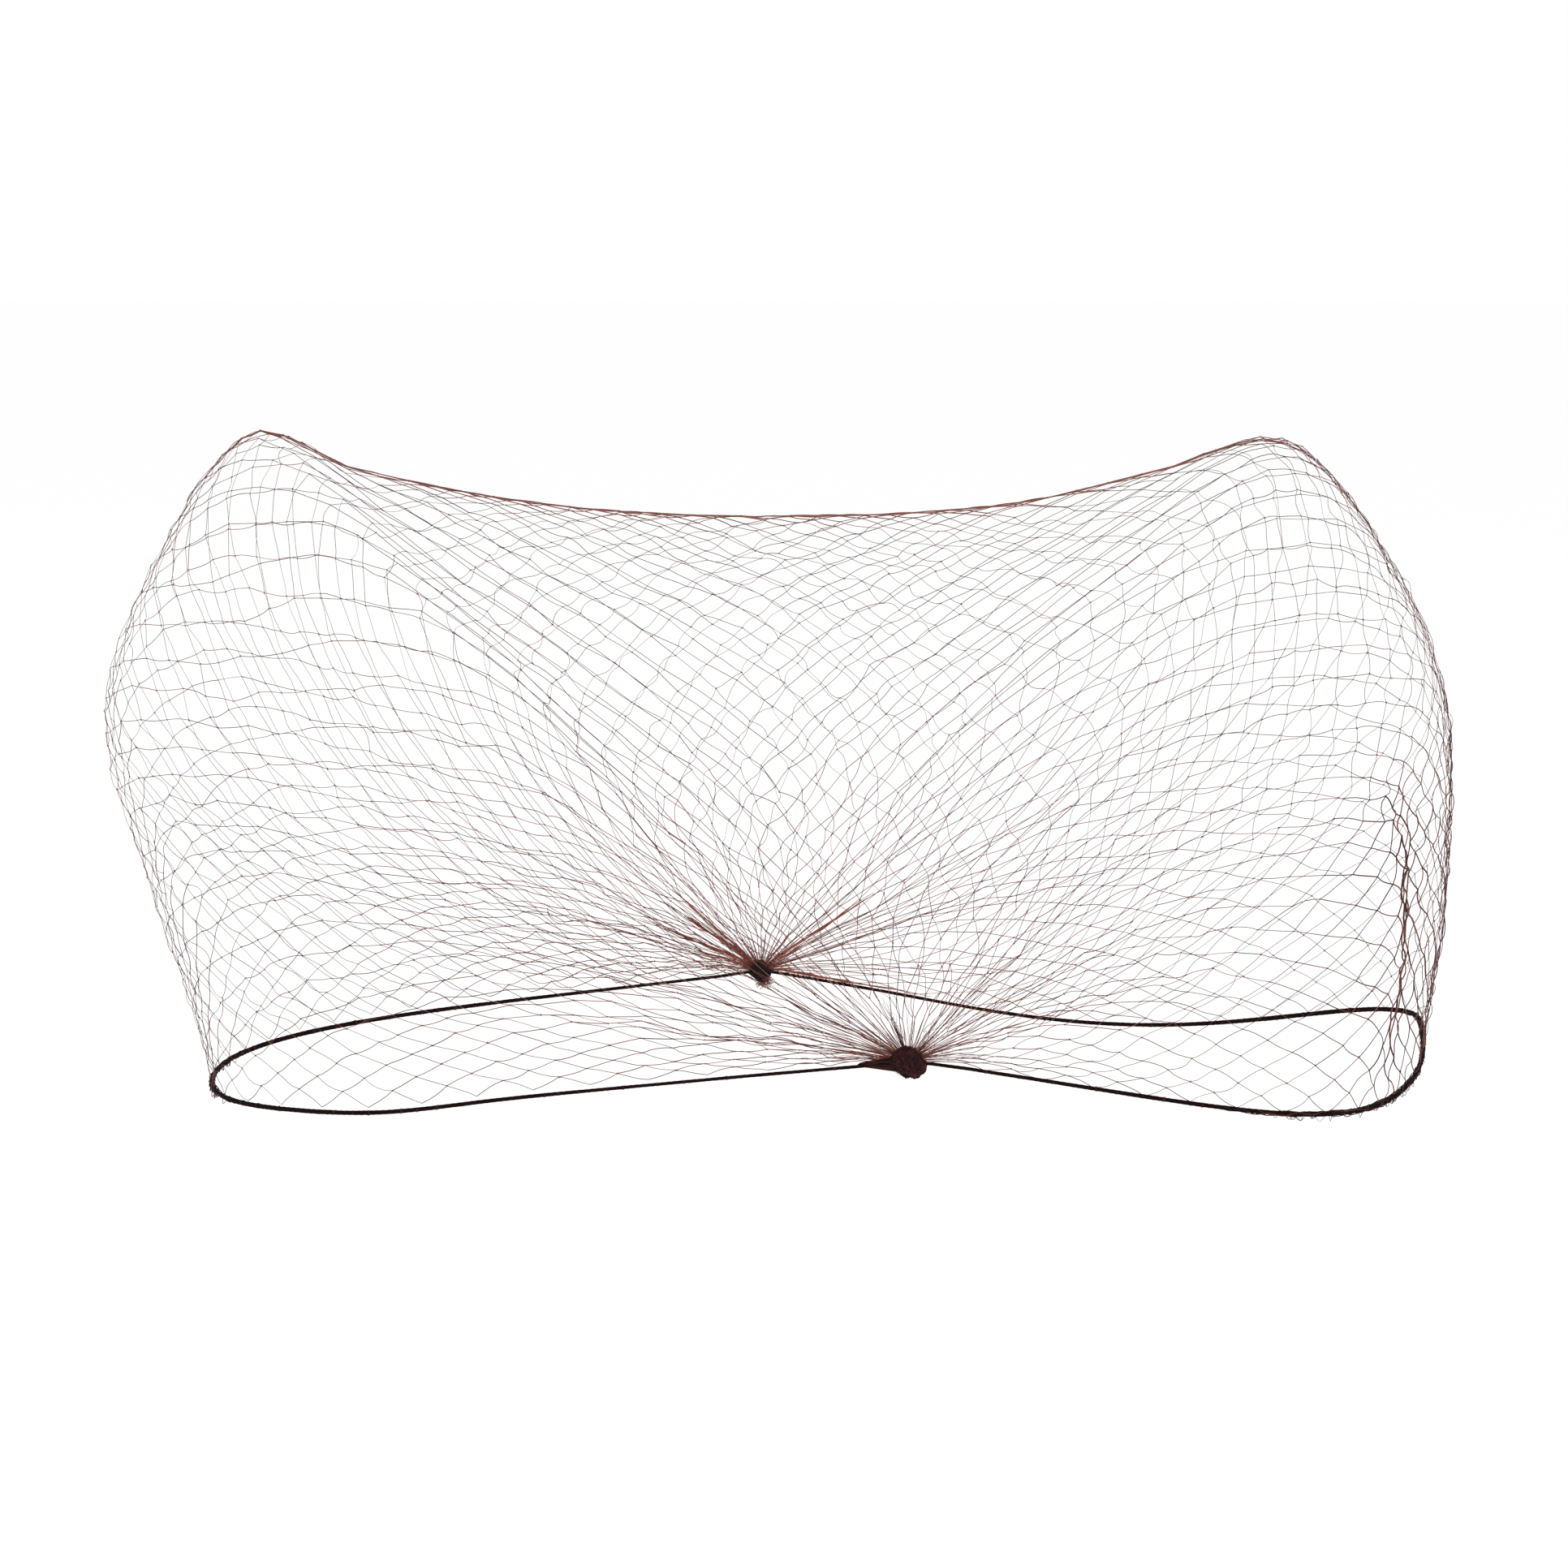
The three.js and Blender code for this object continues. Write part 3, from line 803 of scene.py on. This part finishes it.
def closed_curve(points, count):
    """A smooth closed curve through points."""
    number = len(points)
    place = np.linspace(0, number, count, endpoint=False)
    k = place.astype(int)
    s = (place - k)[:, None]
    before, start, end, after = (points[(k + step) % number] for step in (-1, 0, 1, 2))
    curve = start + 0.5 * s * (end - before)
    curve = curve + s**2 * (before - 2.5 * start + 2 * end - 0.5 * after)
    return curve + s**3 * (1.5 * (start - end) + 0.5 * (after - before))


def even_curve(points, count):
    """Evenly spaced points of the closed curve through points, and its length."""
    fine = closed_curve(points, 8 * count)
    loop = np.concatenate([fine, fine[:1]])
    steps = np.linalg.norm(np.diff(loop, axis=0), axis=1)
    lengths = np.concatenate([[0], np.cumsum(steps)])
    place = np.linspace(0, lengths[-1], count, endpoint=False)
    even = np.stack([np.interp(place, lengths, loop[:, axis]) for axis in range(3)], axis=1)
    return even, lengths[-1]


route, elastic_length = even_curve(elastic_route(), ELASTIC_RINGS)
tangents = unit(np.roll(route, -1, axis=0) - np.roll(route, 1, axis=0))
route_side = unit(np.cross(tangents, (0, 0, 1)))
route_up = np.cross(route_side, tangents)


def tube_mesh(name, centres, sideways, upwards, radii, sides, length):
    """A closed loop of tube with a UV map: turns round it, and metres along it."""
    count = len(centres)
    angle = 2 * math.pi * np.arange(sides) / sides
    round_x = (np.cos(angle)[None, :] * radii)[..., None]
    round_z = (np.sin(angle)[None, :] * radii)[..., None]
    points = centres[:, None] + sideways[:, None] * round_x + upwards[:, None] * round_z
    faces, uvs = [], []
    for k in range(count):
        for side in range(sides):
            after = (side + 1) % sides
            next_ring = (k + 1) % count
            faces.append(
                (
                    k * sides + side,
                    next_ring * sides + side,
                    next_ring * sides + after,
                    k * sides + after,
                )
            )
            here, there = k * length / count, (k + 1) * length / count
            low, high = side / sides, (side + 1) / sides
            uvs += [(low, here), (low, there), (high, there), (high, here)]
    mesh = bpy.data.meshes.new(name)
    mesh.from_pydata(points.reshape(-1, 3).tolist(), [], faces)
    layer = mesh.uv_layers.new(name="winding")
    layer.data.foreach_set("uv", np.array(uvs, dtype=np.float32).ravel())
    mesh.shade_smooth()
    return mesh


def winding_material(name, dark, light, roughness, pitch, depth):
    """Thread wound closely round a core: helical ridges, painted shade in their grooves, uneven dusty
    dye.
    """
    material, tree, shader = start_material(name)
    uv = add_node(tree, "ShaderNodeUVMap", {"uv_map": "winding"}, {}).outputs["UV"]
    parts = add_node(tree, "ShaderNodeSeparateXYZ", {}, {"Vector": uv})
    turn = Amount(tree, parts.outputs["X"]) * (2 * math.pi)
    run = Amount(tree, parts.outputs["Y"]) * (2 * math.pi / pitch)
    ridge = (run + turn).sine() * 0.5 + 0.5
    place = add_node(tree, "ShaderNodeTexCoord", {}, {}).outputs["Object"]
    dust = add_node(tree, "ShaderNodeTexNoise", {}, {"Vector": place, "Scale": 900.0, "Detail": 5.0})
    fibre = add_node(tree, "ShaderNodeTexNoise", {}, {"Vector": place, "Scale": 6000.0, "Detail": 3.0})
    # Painted shade: the colour is darker in the grooves between turns of the cover and lighter on
    # their crests, mixed with a dusty, uneven dye
    groove_shade_and_dust = ridge * 0.45 + Amount(tree, dust.outputs["Fac"]) * 0.55
    colour = add_ramp(tree, groove_shade_and_dust, [(0.25, dark), (0.8, light)])
    tree.links.new(colour, shader.inputs["Base Color"])
    shader.inputs["Specular IOR Level"].default_value = 0.06
    rough = Amount(tree, dust.outputs["Fac"]) * 0.2 + (roughness - 0.1)
    tree.links.new(rough.socket, shader.inputs["Roughness"])
    height = ridge + Amount(tree, fibre.outputs["Fac"]) * 0.5
    bump = add_node(
        tree, "ShaderNodeBump", {}, {"Height": height, "Strength": 0.9, "Distance": depth}
    )
    tree.links.new(bump.outputs["Normal"], shader.inputs["Normal"])
    return material


covered_elastic = winding_material(
    "covered_elastic",
    dark=(0.0025, 0.001, 0.001),
    light=(0.018, 0.006, 0.005),
    roughness=0.85,
    pitch=COVER_PITCH,
    depth=0.06 * MM,
)
lumps = drift(31, 240, 2, (ELASTIC_RINGS, ELASTIC_SIDES))
ring_places = np.linspace(0, elastic_length, ELASTIC_RINGS)[:, None]
ring_turn = 2 * math.pi * ring_places / (3 * COVER_PITCH)
ridges = np.sin(ring_turn + 2 * math.pi * np.arange(ELASTIC_SIDES) / ELASTIC_SIDES)
taut_share = np.clip((SLACK_FROM - np.abs(route[:, :1])) / SLACK_BLEND, 0, 1)
radii = ELASTIC_RADIUS * (SLACK_SIZE + (TAUT_SIZE - SLACK_SIZE) * taut_share)
radii = radii * (1 + LUMPINESS * lumps + COVER_RIDGE * ridges)
elastic = bpy.data.objects.new(
    "elastic_cord",
    tube_mesh("elastic_cord", route, route_side, route_up, radii, ELASTIC_SIDES, elastic_length),
)
bpy.context.collection.objects.link(elastic)
elastic.data.materials.append(covered_elastic)
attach(elastic, "root")
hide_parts("elastic_edge")


# Rim: the net's edge meshes are threaded on the elastic. Along its two runs they lie apart as
# small loops. Round both ends of the loop they crowd, the edge threads lie together with the
# elastic as a thick dark-brown rim, and small slack loops and fibres hang out of it.
RIM_LOOP_FIT = 0.85
RIM_LOOP_SIZES = {
    "Radius": 0.08 * MM,
    "Coil Radius": ELASTIC_RADIUS * RIM_LOOP_FIT + 0.06 * MM,
    "Coil Length": 0.35 * MM,
    "Turns": 1.5,
}
# Stretches of the elastic where the rim crowds. Columns: from x, to x and up to y in
# millimetres, threads, loops
CROWDED_RIMS = (
    (99, 140, 14, 26, 190),
    (-140, -113, 12, 9, 70),
)
rim_thread = thread_material(
    "rim_thread",
    dark=(0.008, 0.0025, 0.0025),
    middle=(0.026, 0.008, 0.0070),
    light=(0.090, 0.030, 0.022),
    roughness=0.7,
)
rim_hitches = hitch_tree(rim_thread)
draw = np.random.default_rng(41)
spots = np.linspace(0, ELASTIC_RINGS, 2 * HALF_ROWS, endpoint=False).astype(int)
spots = (spots + draw.integers(-8, 9, len(spots))) % ELASTIC_RINGS
lie = unit(tangents[spots] + draw.normal(0, 0.3, (len(spots), 3)))
fit = draw.uniform(0.85, 1.1, len(spots))
attributes = {
    "lie": lie,
    "thick": fit * radii[spots].mean(axis=1) / (RIM_LOOP_FIT * ELASTIC_RADIUS),
    "tone": draw.uniform(0, 1, len(spots)),
}
points = route[spots].tolist()
settle("rim_loops", points, [], attributes, rim_hitches, RIM_LOOP_SIZES)

rim_paths = path_tree(rim_thread)
rim_strands = strand_tree(rim_thread)
paths, thick, loop_starts, loop_ends, loop_bows = [], [], [], [], []
for from_x, to_x, to_y, thread_count, loop_count in CROWDED_RIMS:
    x, y = route[:, 0] / MM, route[:, 1] / MM
    crowded = np.flatnonzero((x > from_x) & (x < to_x) & (y < to_y))
    for _ in range(thread_count):
        middle = draw.choice(crowded)
        length = draw.integers(50, 150)
        steps = np.arange(middle - length // 2, middle + length // 2, 3) % ELASTIC_RINGS
        run = np.linspace(0, 1, len(steps))[:, None]
        turn = draw.uniform(0, 2 * math.pi) + run * draw.normal(0, 5)
        turn = turn + 0.5 * np.sin(run * draw.uniform(9, 30))
        off = radii[steps, :1] + draw.uniform(-0.1, 0.25) * MM * np.sin(math.pi * run)
        off = off + 0.07 * MM * np.sin(run * draw.uniform(20, 70))
        ways = route_side[steps] * np.cos(turn) + route_up[steps] * np.sin(turn)
        paths.append(route[steps] + off * ways)
        thick.append(np.sin(math.pi * run[:, 0]) ** 0.4 * draw.uniform(0.7, 1.2) + 0.05)
    spots = draw.choice(crowded, loop_count)
    around = draw.uniform(0, 2 * math.pi, loop_count)[:, None]
    outwards = route_side[spots] * np.cos(around) + route_up[spots] * np.sin(around)
    starts = route[spots] + outwards * ELASTIC_RADIUS * 0.8
    along_rim = draw.uniform(0.4, 2.2, (loop_count, 1)) * MM
    along_rim = along_rim * draw.choice([-1, 1], (loop_count, 1))
    off_cord = draw.uniform(-0.2, 0.3, (loop_count, 1))
    ends = starts + tangents[spots] * along_rim + outwards * off_cord * MM
    hanging = np.array([0, -0.2, -1]) + 0.5 * outwards
    loop_starts.append(starts)
    loop_ends.append(ends)
    loop_bows.append(hanging * draw.uniform(0.1, 0.75, (loop_count, 1)) * MM)
lay_paths(
    "rim_threads",
    paths,
    thick,
    draw.uniform(0, 1, len(paths)),
    rim_paths,
    {"Radius": 0.12 * MM, "Sides": 4},
)
loop_bows = np.concatenate(loop_bows)
lay_strands(
    "rim_slack",
    np.concatenate(loop_starts),
    np.concatenate(loop_ends),
    loop_bows,
    loop_bows * 0.2,
    draw.uniform(0.6, 1.2, len(loop_bows)),
    draw.uniform(0, 1, len(loop_bows)),
    rim_strands,
    {"Radius": 0.07 * MM, "Points": 6, "Sides": 3},
)


# Gathers: just out of each knot the netting's threads still lie together in rusty bundles, which
# thin out and open into single strands. Each bundle leaves its knot at an angle above +X.
# Columns: angle and spread in degrees, reach in millimetres, threads
FRONT_BUNDLES = (
    (177, 3, 18, 12),
    (166, 5, 20, 4),
    (152, 5, 26, 7),
    (136, 6, 18, 3),
    (112, 3, 10, 18),
    (88, 20, 12, 4),
    (58, 6, 16, 3),
    (45, 4, 22, 5),
    (33, 6, 26, 4),
    (18, 7, 18, 4),
    (5, 3, 12, 5),
)
REAR_BUNDLES = (
    (172, 5, 12, 9),
    (161, 7, 9, 12),
    (157, 1.2, 26, 18),
    (148, 7, 9, 8),
    (145, 1, 26, 16),
    (138, 1, 24, 13),
    (118, 9, 10, 8),
    (88, 20, 9, 7),
    (50, 9, 10, 8),
    (34, 1, 27, 12),
    (30, 9, 8, 12),
    (14, 7, 9, 8),
    (-12, 1, 36, 18),
)
gather_thread = thread_material(
    "gather_thread",
    dark=(0.035, 0.007, 0.006),
    middle=(0.250, 0.056, 0.037),
    light=(0.480, 0.150, 0.095),
    roughness=0.6,
)
dark_gather_thread = thread_material(
    "dark_gather_thread",
    dark=(0.020, 0.005, 0.005),
    middle=(0.080, 0.018, 0.015),
    light=(0.240, 0.065, 0.048),
    roughness=0.6,
)
gather_strands = strand_tree(gather_thread)
gather_paths = path_tree(gather_thread)
dark_gather_paths = path_tree(dark_gather_thread)
PATH_STEPS = 12
GATHER_SIZES = {"Radius": 0.056 * MM, "Sides": 4}
# The bundles are painted darker towards their knot, as painted shade where they are packed together
# there:
# darkest all through the first part of this distance from its middle
ROOT_SHADE_REACH = 3.0 * MM
ROOT_SHADE_CORE = 0.5
# Their roots are drawn in by this share of their way to the knot's middle
ROOT_DRAW_IN = 0.5
# A bundle with less spread than this, in degrees, stays together
TIGHT_SPREAD = 2
# Shortest thread as a share of its bundle's reach, size at the knot, and how much it tapers
TIGHT_BUNDLE = (0.35, 1.4, 0.45)
LOOSE_BUNDLE = (0.15, 0.9, 0.5)


def gathered(knot, bundles, side, seed):
    """Long threads of the bundles of one knot, and how thick each is along its length."""
    draw = np.random.default_rng(seed)
    table = np.linspace(0, 1, TABLE_STEPS)
    angles = leaving_angles(table, knot, 1)
    share = np.linspace(0, 1, PATH_STEPS)[:, None]
    paths, thick = [], []
    for angle, spread, reach, count in bundles:
        shortest, full, taper = TIGHT_BUNDLE if spread < TIGHT_SPREAD else LOOSE_BUNDLE
        lean = math.radians(spread) * draw.normal(0, 0.5, (1, count))
        leave = math.radians(angle) + lean * share**0.4
        far = reach * MM * draw.uniform(shortest, 1, (1, count))
        over = np.interp(-leave, -angles, table)
        spot = share * far / net_lines(over[-1])[1][:, -1]
        spot = spot if side < 0 else 1 - spot
        points = on_net(over, spot)
        points[0] += (knot - points[0]) * ROOT_DRAW_IN
        turn = math.pi * share[..., None]
        straying = min(0.25, 0.03 + 0.05 * spread) * MM
        for wave in (1, 2, 3, 5):
            points = points + draw.normal(0, straying, (count, 3)) * np.sin(wave * turn)
        paths += list(points.transpose(1, 0, 2))
        size = np.repeat(full - taper * share, count, axis=1)
        thick += list((size * draw.uniform(0.7, 1.15, (1, count))).T)
    return paths, thick


for part_name, knot, bundles, side, seed, tree in (
    ("gathers_front", FRONT_KNOT, FRONT_BUNDLES, -1, 51, dark_gather_paths),
    ("gathers_rear", REAR_KNOT, REAR_BUNDLES, 1, 52, gather_paths),
):
    paths, thick = gathered(knot, bundles, side, seed)
    tone = np.random.default_rng(seed + 10).uniform(0, 1, len(paths))
    away = [np.linalg.norm(path - knot, axis=1) / ROOT_SHADE_REACH for path in paths]
    # Painted shade: each thread's tone falls to the darkest colour close to its knot
    tone = [value * np.clip(far - ROOT_SHADE_CORE, 0, 1) for value, far in zip(tone, away)]
    lay_paths(part_name, paths, thick, tone, tree, GATHER_SIZES)


# Front knot: the near end of the net is drawn up, knotted into a tight ball round the elastic and
# bound with its own thread, with a tail of gathered net along the cord on the left.
knot_thread = thread_material(
    "knot_thread",
    dark=(0.008, 0.0015, 0.0015),
    middle=(0.026, 0.0048, 0.0044),
    light=(0.090, 0.018, 0.015),
    roughness=0.85,
)
knot_paths = path_tree(knot_thread)
knot_strands = strand_tree(knot_thread)
WAD_SUBDIVISIONS = 5
WAD_TONE = 0.35


def lumpy(way, seed):
    """How far a knot of packed thread swells out in a direction."""
    lump = noise.noise(way * 1.4 + Vector((seed, 0, 0)))
    fold = noise.noise(way * 3.2 + Vector((0, 0, seed)))
    strand = noise.noise(way * 8.0 + Vector((0, seed, 0)))
    return 1 + 0.2 * lump + 0.14 * fold + 0.05 * strand


def wad(name, centre, half_sizes, turn, material, seed):
    """A lumpy closed ball of packed thread."""
    made = bmesh.new()
    bmesh.ops.create_icosphere(made, subdivisions=WAD_SUBDIVISIONS, radius=1.0)
    axes = np.array(turn)
    for vertex in made.verts:
        way = Vector(vertex.co)
        local = np.array(way) * half_sizes * lumpy(way, seed)
        vertex.co = Vector(centre + axes.T @ local)
    mesh = bpy.data.meshes.new(name)
    made.to_mesh(mesh)
    made.free()
    mesh.shade_smooth()
    tone = mesh.attributes.new("tone", "FLOAT", "POINT")
    tones = np.full(len(mesh.vertices), WAD_TONE, dtype=np.float32)
    tone.data.foreach_set("value", tones)
    piece = bpy.data.objects.new(name, mesh)
    bpy.context.collection.objects.link(piece)
    mesh.materials.append(material)
    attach(piece, "root")
    return piece


# It is a little longer than high, and slants down to the right
KNOT_SLANT = math.radians(-38)
# Seed of its lumps
FRONT_LUMPS = 4.0
knot_axes = np.array([
    (math.cos(KNOT_SLANT), 0, math.sin(KNOT_SLANT)),
    (0, 1, 0),
    (-math.sin(KNOT_SLANT), 0, math.cos(KNOT_SLANT)),
])
KNOT_HALF_SIZES = np.array((1.04, 0.84, 0.78)) * FRONT_KNOT_RADIUS
front_wad = wad(
    "front_knot_wad",
    FRONT_KNOT,
    KNOT_HALF_SIZES,
    knot_axes,
    knot_thread,
    FRONT_LUMPS,
)
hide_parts("front_knot")


def windings(centre, half_sizes, axes, count, seed, lay_along, spread_angle, wad_seed):
    """Loops of thread wound over a wad, most of them round one axis."""
    draw = np.random.default_rng(seed)
    paths, thick = [], []
    for _ in range(count):
        axis = unit(np.array(lay_along) + draw.normal(0, spread_angle, 3))
        across_way = unit(np.cross(axis, draw.normal(0, 1, 3)))
        third = np.cross(axis, across_way)
        offset = draw.uniform(-0.75, 0.75)
        ring = math.sqrt(1 - offset**2)
        turns = draw.uniform(0.7, 1.6)
        angle = np.linspace(0, 2 * math.pi * turns, int(24 * turns))[:, None]
        climb = np.linspace(-0.12, 0.12, len(angle))[:, None]
        around = across_way * np.cos(angle) + third * np.sin(angle)
        way = unit(axis * (offset + climb) + ring * around)
        ripple = 1.0 + 0.05 * np.sin(3 * angle + draw.uniform(0, 6))
        swell = np.array([[lumpy(Vector(spot), wad_seed)] for spot in way])
        local = way * half_sizes * ripple * swell
        paths.append(centre + local @ axes)
        thick.append(np.full(len(angle), draw.uniform(0.75, 1.35)))
    return paths, thick


draw = np.random.default_rng(61)
paths, thick = windings(
    FRONT_KNOT,
    KNOT_HALF_SIZES,
    knot_axes,
    count=90,
    seed=61,
    lay_along=(0.9, 0.2, 0.3),
    spread_angle=0.55,
    wad_seed=FRONT_LUMPS,
)
# The tail's threads, its length, and its radius at the knot and how much it tapers, both in
# millimetres
TAIL_THREADS = 46
TAIL_LENGTH = 7 * MM
TAIL_ROOT = 1.75
TAIL_TAPER = 1.45
for _ in range(TAIL_THREADS):
    start_angle = draw.uniform(0, 2 * math.pi)
    run = draw.uniform(0.3, 1.0) * TAIL_LENGTH
    share = np.linspace(0, 1, 9)
    size = (TAIL_ROOT - TAIL_TAPER * share) * MM * draw.uniform(0.6, 1.05)
    angle = start_angle + share * draw.uniform(-1.2, 1.2)
    x = FRONT_KNOT[0] - 0.6 * FRONT_KNOT_RADIUS - share * (run + 1.2 * MM)
    slope = (FRONT_KNOT[0] - x) * -0.06
    y = FRONT_KNOT[1] + size * np.cos(angle)
    z = FRONT_KNOT[2] + slope + size * np.sin(angle)
    path = np.stack([x, y, z], axis=1)
    paths.append(path)
    thick.append(np.full(len(path), draw.uniform(0.9, 1.5)))
lay_paths(
    "front_knot_windings",
    paths,
    thick,
    draw.uniform(0, 1, len(paths)),
    knot_paths,
    {"Radius": 0.13 * MM, "Sides": 4},
)


def frays(name, centre, radius, count, seed, tree, longest):
    """Cut ends and slipped fibres that stand out of a knot."""
    draw = np.random.default_rng(seed)
    way = unit(draw.normal(0, 1, (count, 3)))
    starts = centre + way * radius * 0.85
    lean = unit(way + draw.normal(0, 0.6, way.shape))
    ends = starts + lean * draw.uniform(0.25, 1, (count, 1)) * longest
    bow = unit(draw.normal(0, 1, way.shape)) * draw.uniform(0.05, 0.4, (count, 1)) * MM
    return lay_strands(
        name,
        starts,
        ends,
        bow,
        bow * 0.3,
        draw.uniform(0.6, 1.1, count),
        draw.uniform(0, 1, count),
        tree,
        {"Radius": 0.06 * MM, "Points": 5, "Sides": 3},
    )


frays(
    "front_knot_frays",
    FRONT_KNOT,
    FRONT_KNOT_RADIUS,
    count=210,
    seed=62,
    tree=knot_strands,
    longest=1.1 * MM,
)


# Rear knot: the far end of the net is bunched into a short slanting bundle and lashed to the
# elastic with a few turns of black covered cord, with the cut net ends standing out below.
BUNDLE_AXIS = unit(np.array((0.3, -0.1, -0.95)))
BUNDLE_SIDE = unit(np.cross(BUNDLE_AXIS, (0, 1, 0)))
bundle_axes = np.array([BUNDLE_SIDE, np.cross(BUNDLE_AXIS, BUNDLE_SIDE), BUNDLE_AXIS])
BUNDLE_HALF_SIZES = np.array((0.72, 0.72, 1.18)) * REAR_KNOT_RADIUS
# Seed of its lumps
REAR_LUMPS = 9.0
rear_wad = wad(
    "rear_knot_bundle",
    REAR_KNOT,
    BUNDLE_HALF_SIZES,
    bundle_axes,
    knot_thread,
    REAR_LUMPS,
)
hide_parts("rear_knot")
draw = np.random.default_rng(71)
paths, thick = windings(
    REAR_KNOT,
    BUNDLE_HALF_SIZES,
    bundle_axes,
    count=40,
    seed=71,
    lay_along=(0.9, 0.4, 0.0),
    spread_angle=0.5,
    wad_seed=REAR_LUMPS,
)
lay_paths(
    "rear_knot_windings",
    paths,
    thick,
    draw.uniform(0, 0.8, len(paths)),
    dark_gather_paths,
    {"Radius": 0.1 * MM, "Sides": 4},
)
LASHING_AXIS = unit(np.array((0.62, 0.05, 0.78)))
LASHING_RADIUS = 1.9 * MM
LASHING_TURNS = 3.6
LASHING_PITCH = 0.92 * MM
LASHING_POINTS = 90
angle = np.linspace(0, 2 * math.pi * LASHING_TURNS, LASHING_POINTS)[:, None]
lashing_side = unit(np.cross(LASHING_AXIS, (0, 1, 0)))
lashing_back = np.cross(LASHING_AXIS, lashing_side)
climb = (angle / (2 * math.pi) - LASHING_TURNS / 2) * LASHING_PITCH
around = np.cos(angle) * lashing_side + np.sin(angle) * lashing_back
lashing = REAR_KNOT + LASHING_RADIUS * around
lashing = lashing + LASHING_AXIS * climb
cord_thread = thread_material(
    "cord_thread",
    dark=(0.0025, 0.001, 0.001),
    middle=(0.007, 0.003, 0.0025),
    light=(0.020, 0.008, 0.006),
    roughness=0.85,
)
cord_paths = path_tree(cord_thread)
lay_paths(
    "rear_knot_lashing",
    [lashing],
    [np.ones(len(lashing))],
    [0.4],
    cord_paths,
    {"Radius": 0.36 * MM, "Sides": 10},
)
frays(
    "rear_knot_frays",
    REAR_KNOT + BUNDLE_AXIS * 0.8 * REAR_KNOT_RADIUS,
    REAR_KNOT_RADIUS * 0.6,
    count=240,
    seed=72,
    tree=gather_strands,
    longest=1.5 * MM,
)


# Studio: a plain white paper floor well below the net, and soft even light from all round, as
# for a packshot.
FLOOR_LEVEL = -150 * MM
FLOOR_SIZE = 8.0
FLOOR_BACK = 2.0
bpy.ops.mesh.primitive_plane_add(size=FLOOR_SIZE, location=(0, FLOOR_BACK, FLOOR_LEVEL))
floor = bpy.context.object
floor.name = "floor"
floor_paper, _, floor_shader = start_material("floor_paper")
floor_shader.inputs["Base Color"].default_value = (0.99, 0.99, 0.99, 1)
floor_shader.inputs["Roughness"].default_value = 0.9
floor.data.materials.append(floor_paper)

world = bpy.data.worlds.new("studio")
bpy.context.scene.world = world
world.use_nodes = True
world.node_tree.nodes["Background"].inputs["Color"].default_value = (1, 1, 1, 1)
world.node_tree.nodes["Background"].inputs["Strength"].default_value = 1.0

# Columns: name, place, size in metres, watts
STUDIO_LIGHTS = (
    ("key_light", (-0.7, -1.1, 1.3), 1.2, 2.4),
    ("fill_light", (1.1, -0.9, 0.8), 1.4, 1.0),
    ("back_light", (0.2, 1.4, 1.2), 1.4, 1.0),
)
LIGHT_AIM = Vector((0, 0, 0.06))
for name, place, size, power in STUDIO_LIGHTS:
    lamp = bpy.data.lights.new(name, "AREA")
    lamp.size = size
    lamp.energy = power
    light = bpy.data.objects.new(name, lamp)
    light.location = place
    light.rotation_euler = (LIGHT_AIM - Vector(place)).to_track_quat("-Z", "Y").to_euler()
    bpy.context.collection.objects.link(light)

# Camera: in front of the net, ten degrees above it
CAMERA_DISTANCE = 800 * MM
CAMERA_ELEVATION = math.radians(10)
CAMERA_AIM = Vector((0, 0, 62 * MM))
# Half of the picture's width and the focal length, in pixels
HALF_FRAME = 966
FOCAL_LENGTH = 4800
FIELD_OF_VIEW = 2 * math.atan(HALF_FRAME / FOCAL_LENGTH)
camera_data = bpy.data.cameras.new("camera")
camera_data.angle = FIELD_OF_VIEW
camera = bpy.data.objects.new("camera", camera_data)
back = Vector((0, -math.cos(CAMERA_ELEVATION), math.sin(CAMERA_ELEVATION)))
camera.location = CAMERA_AIM + back * CAMERA_DISTANCE
camera.rotation_euler = (math.pi / 2 - CAMERA_ELEVATION, 0, 0)
bpy.context.collection.objects.link(camera)
bpy.context.scene.camera = camera
bpy.context.scene.view_settings.view_transform = "Standard"
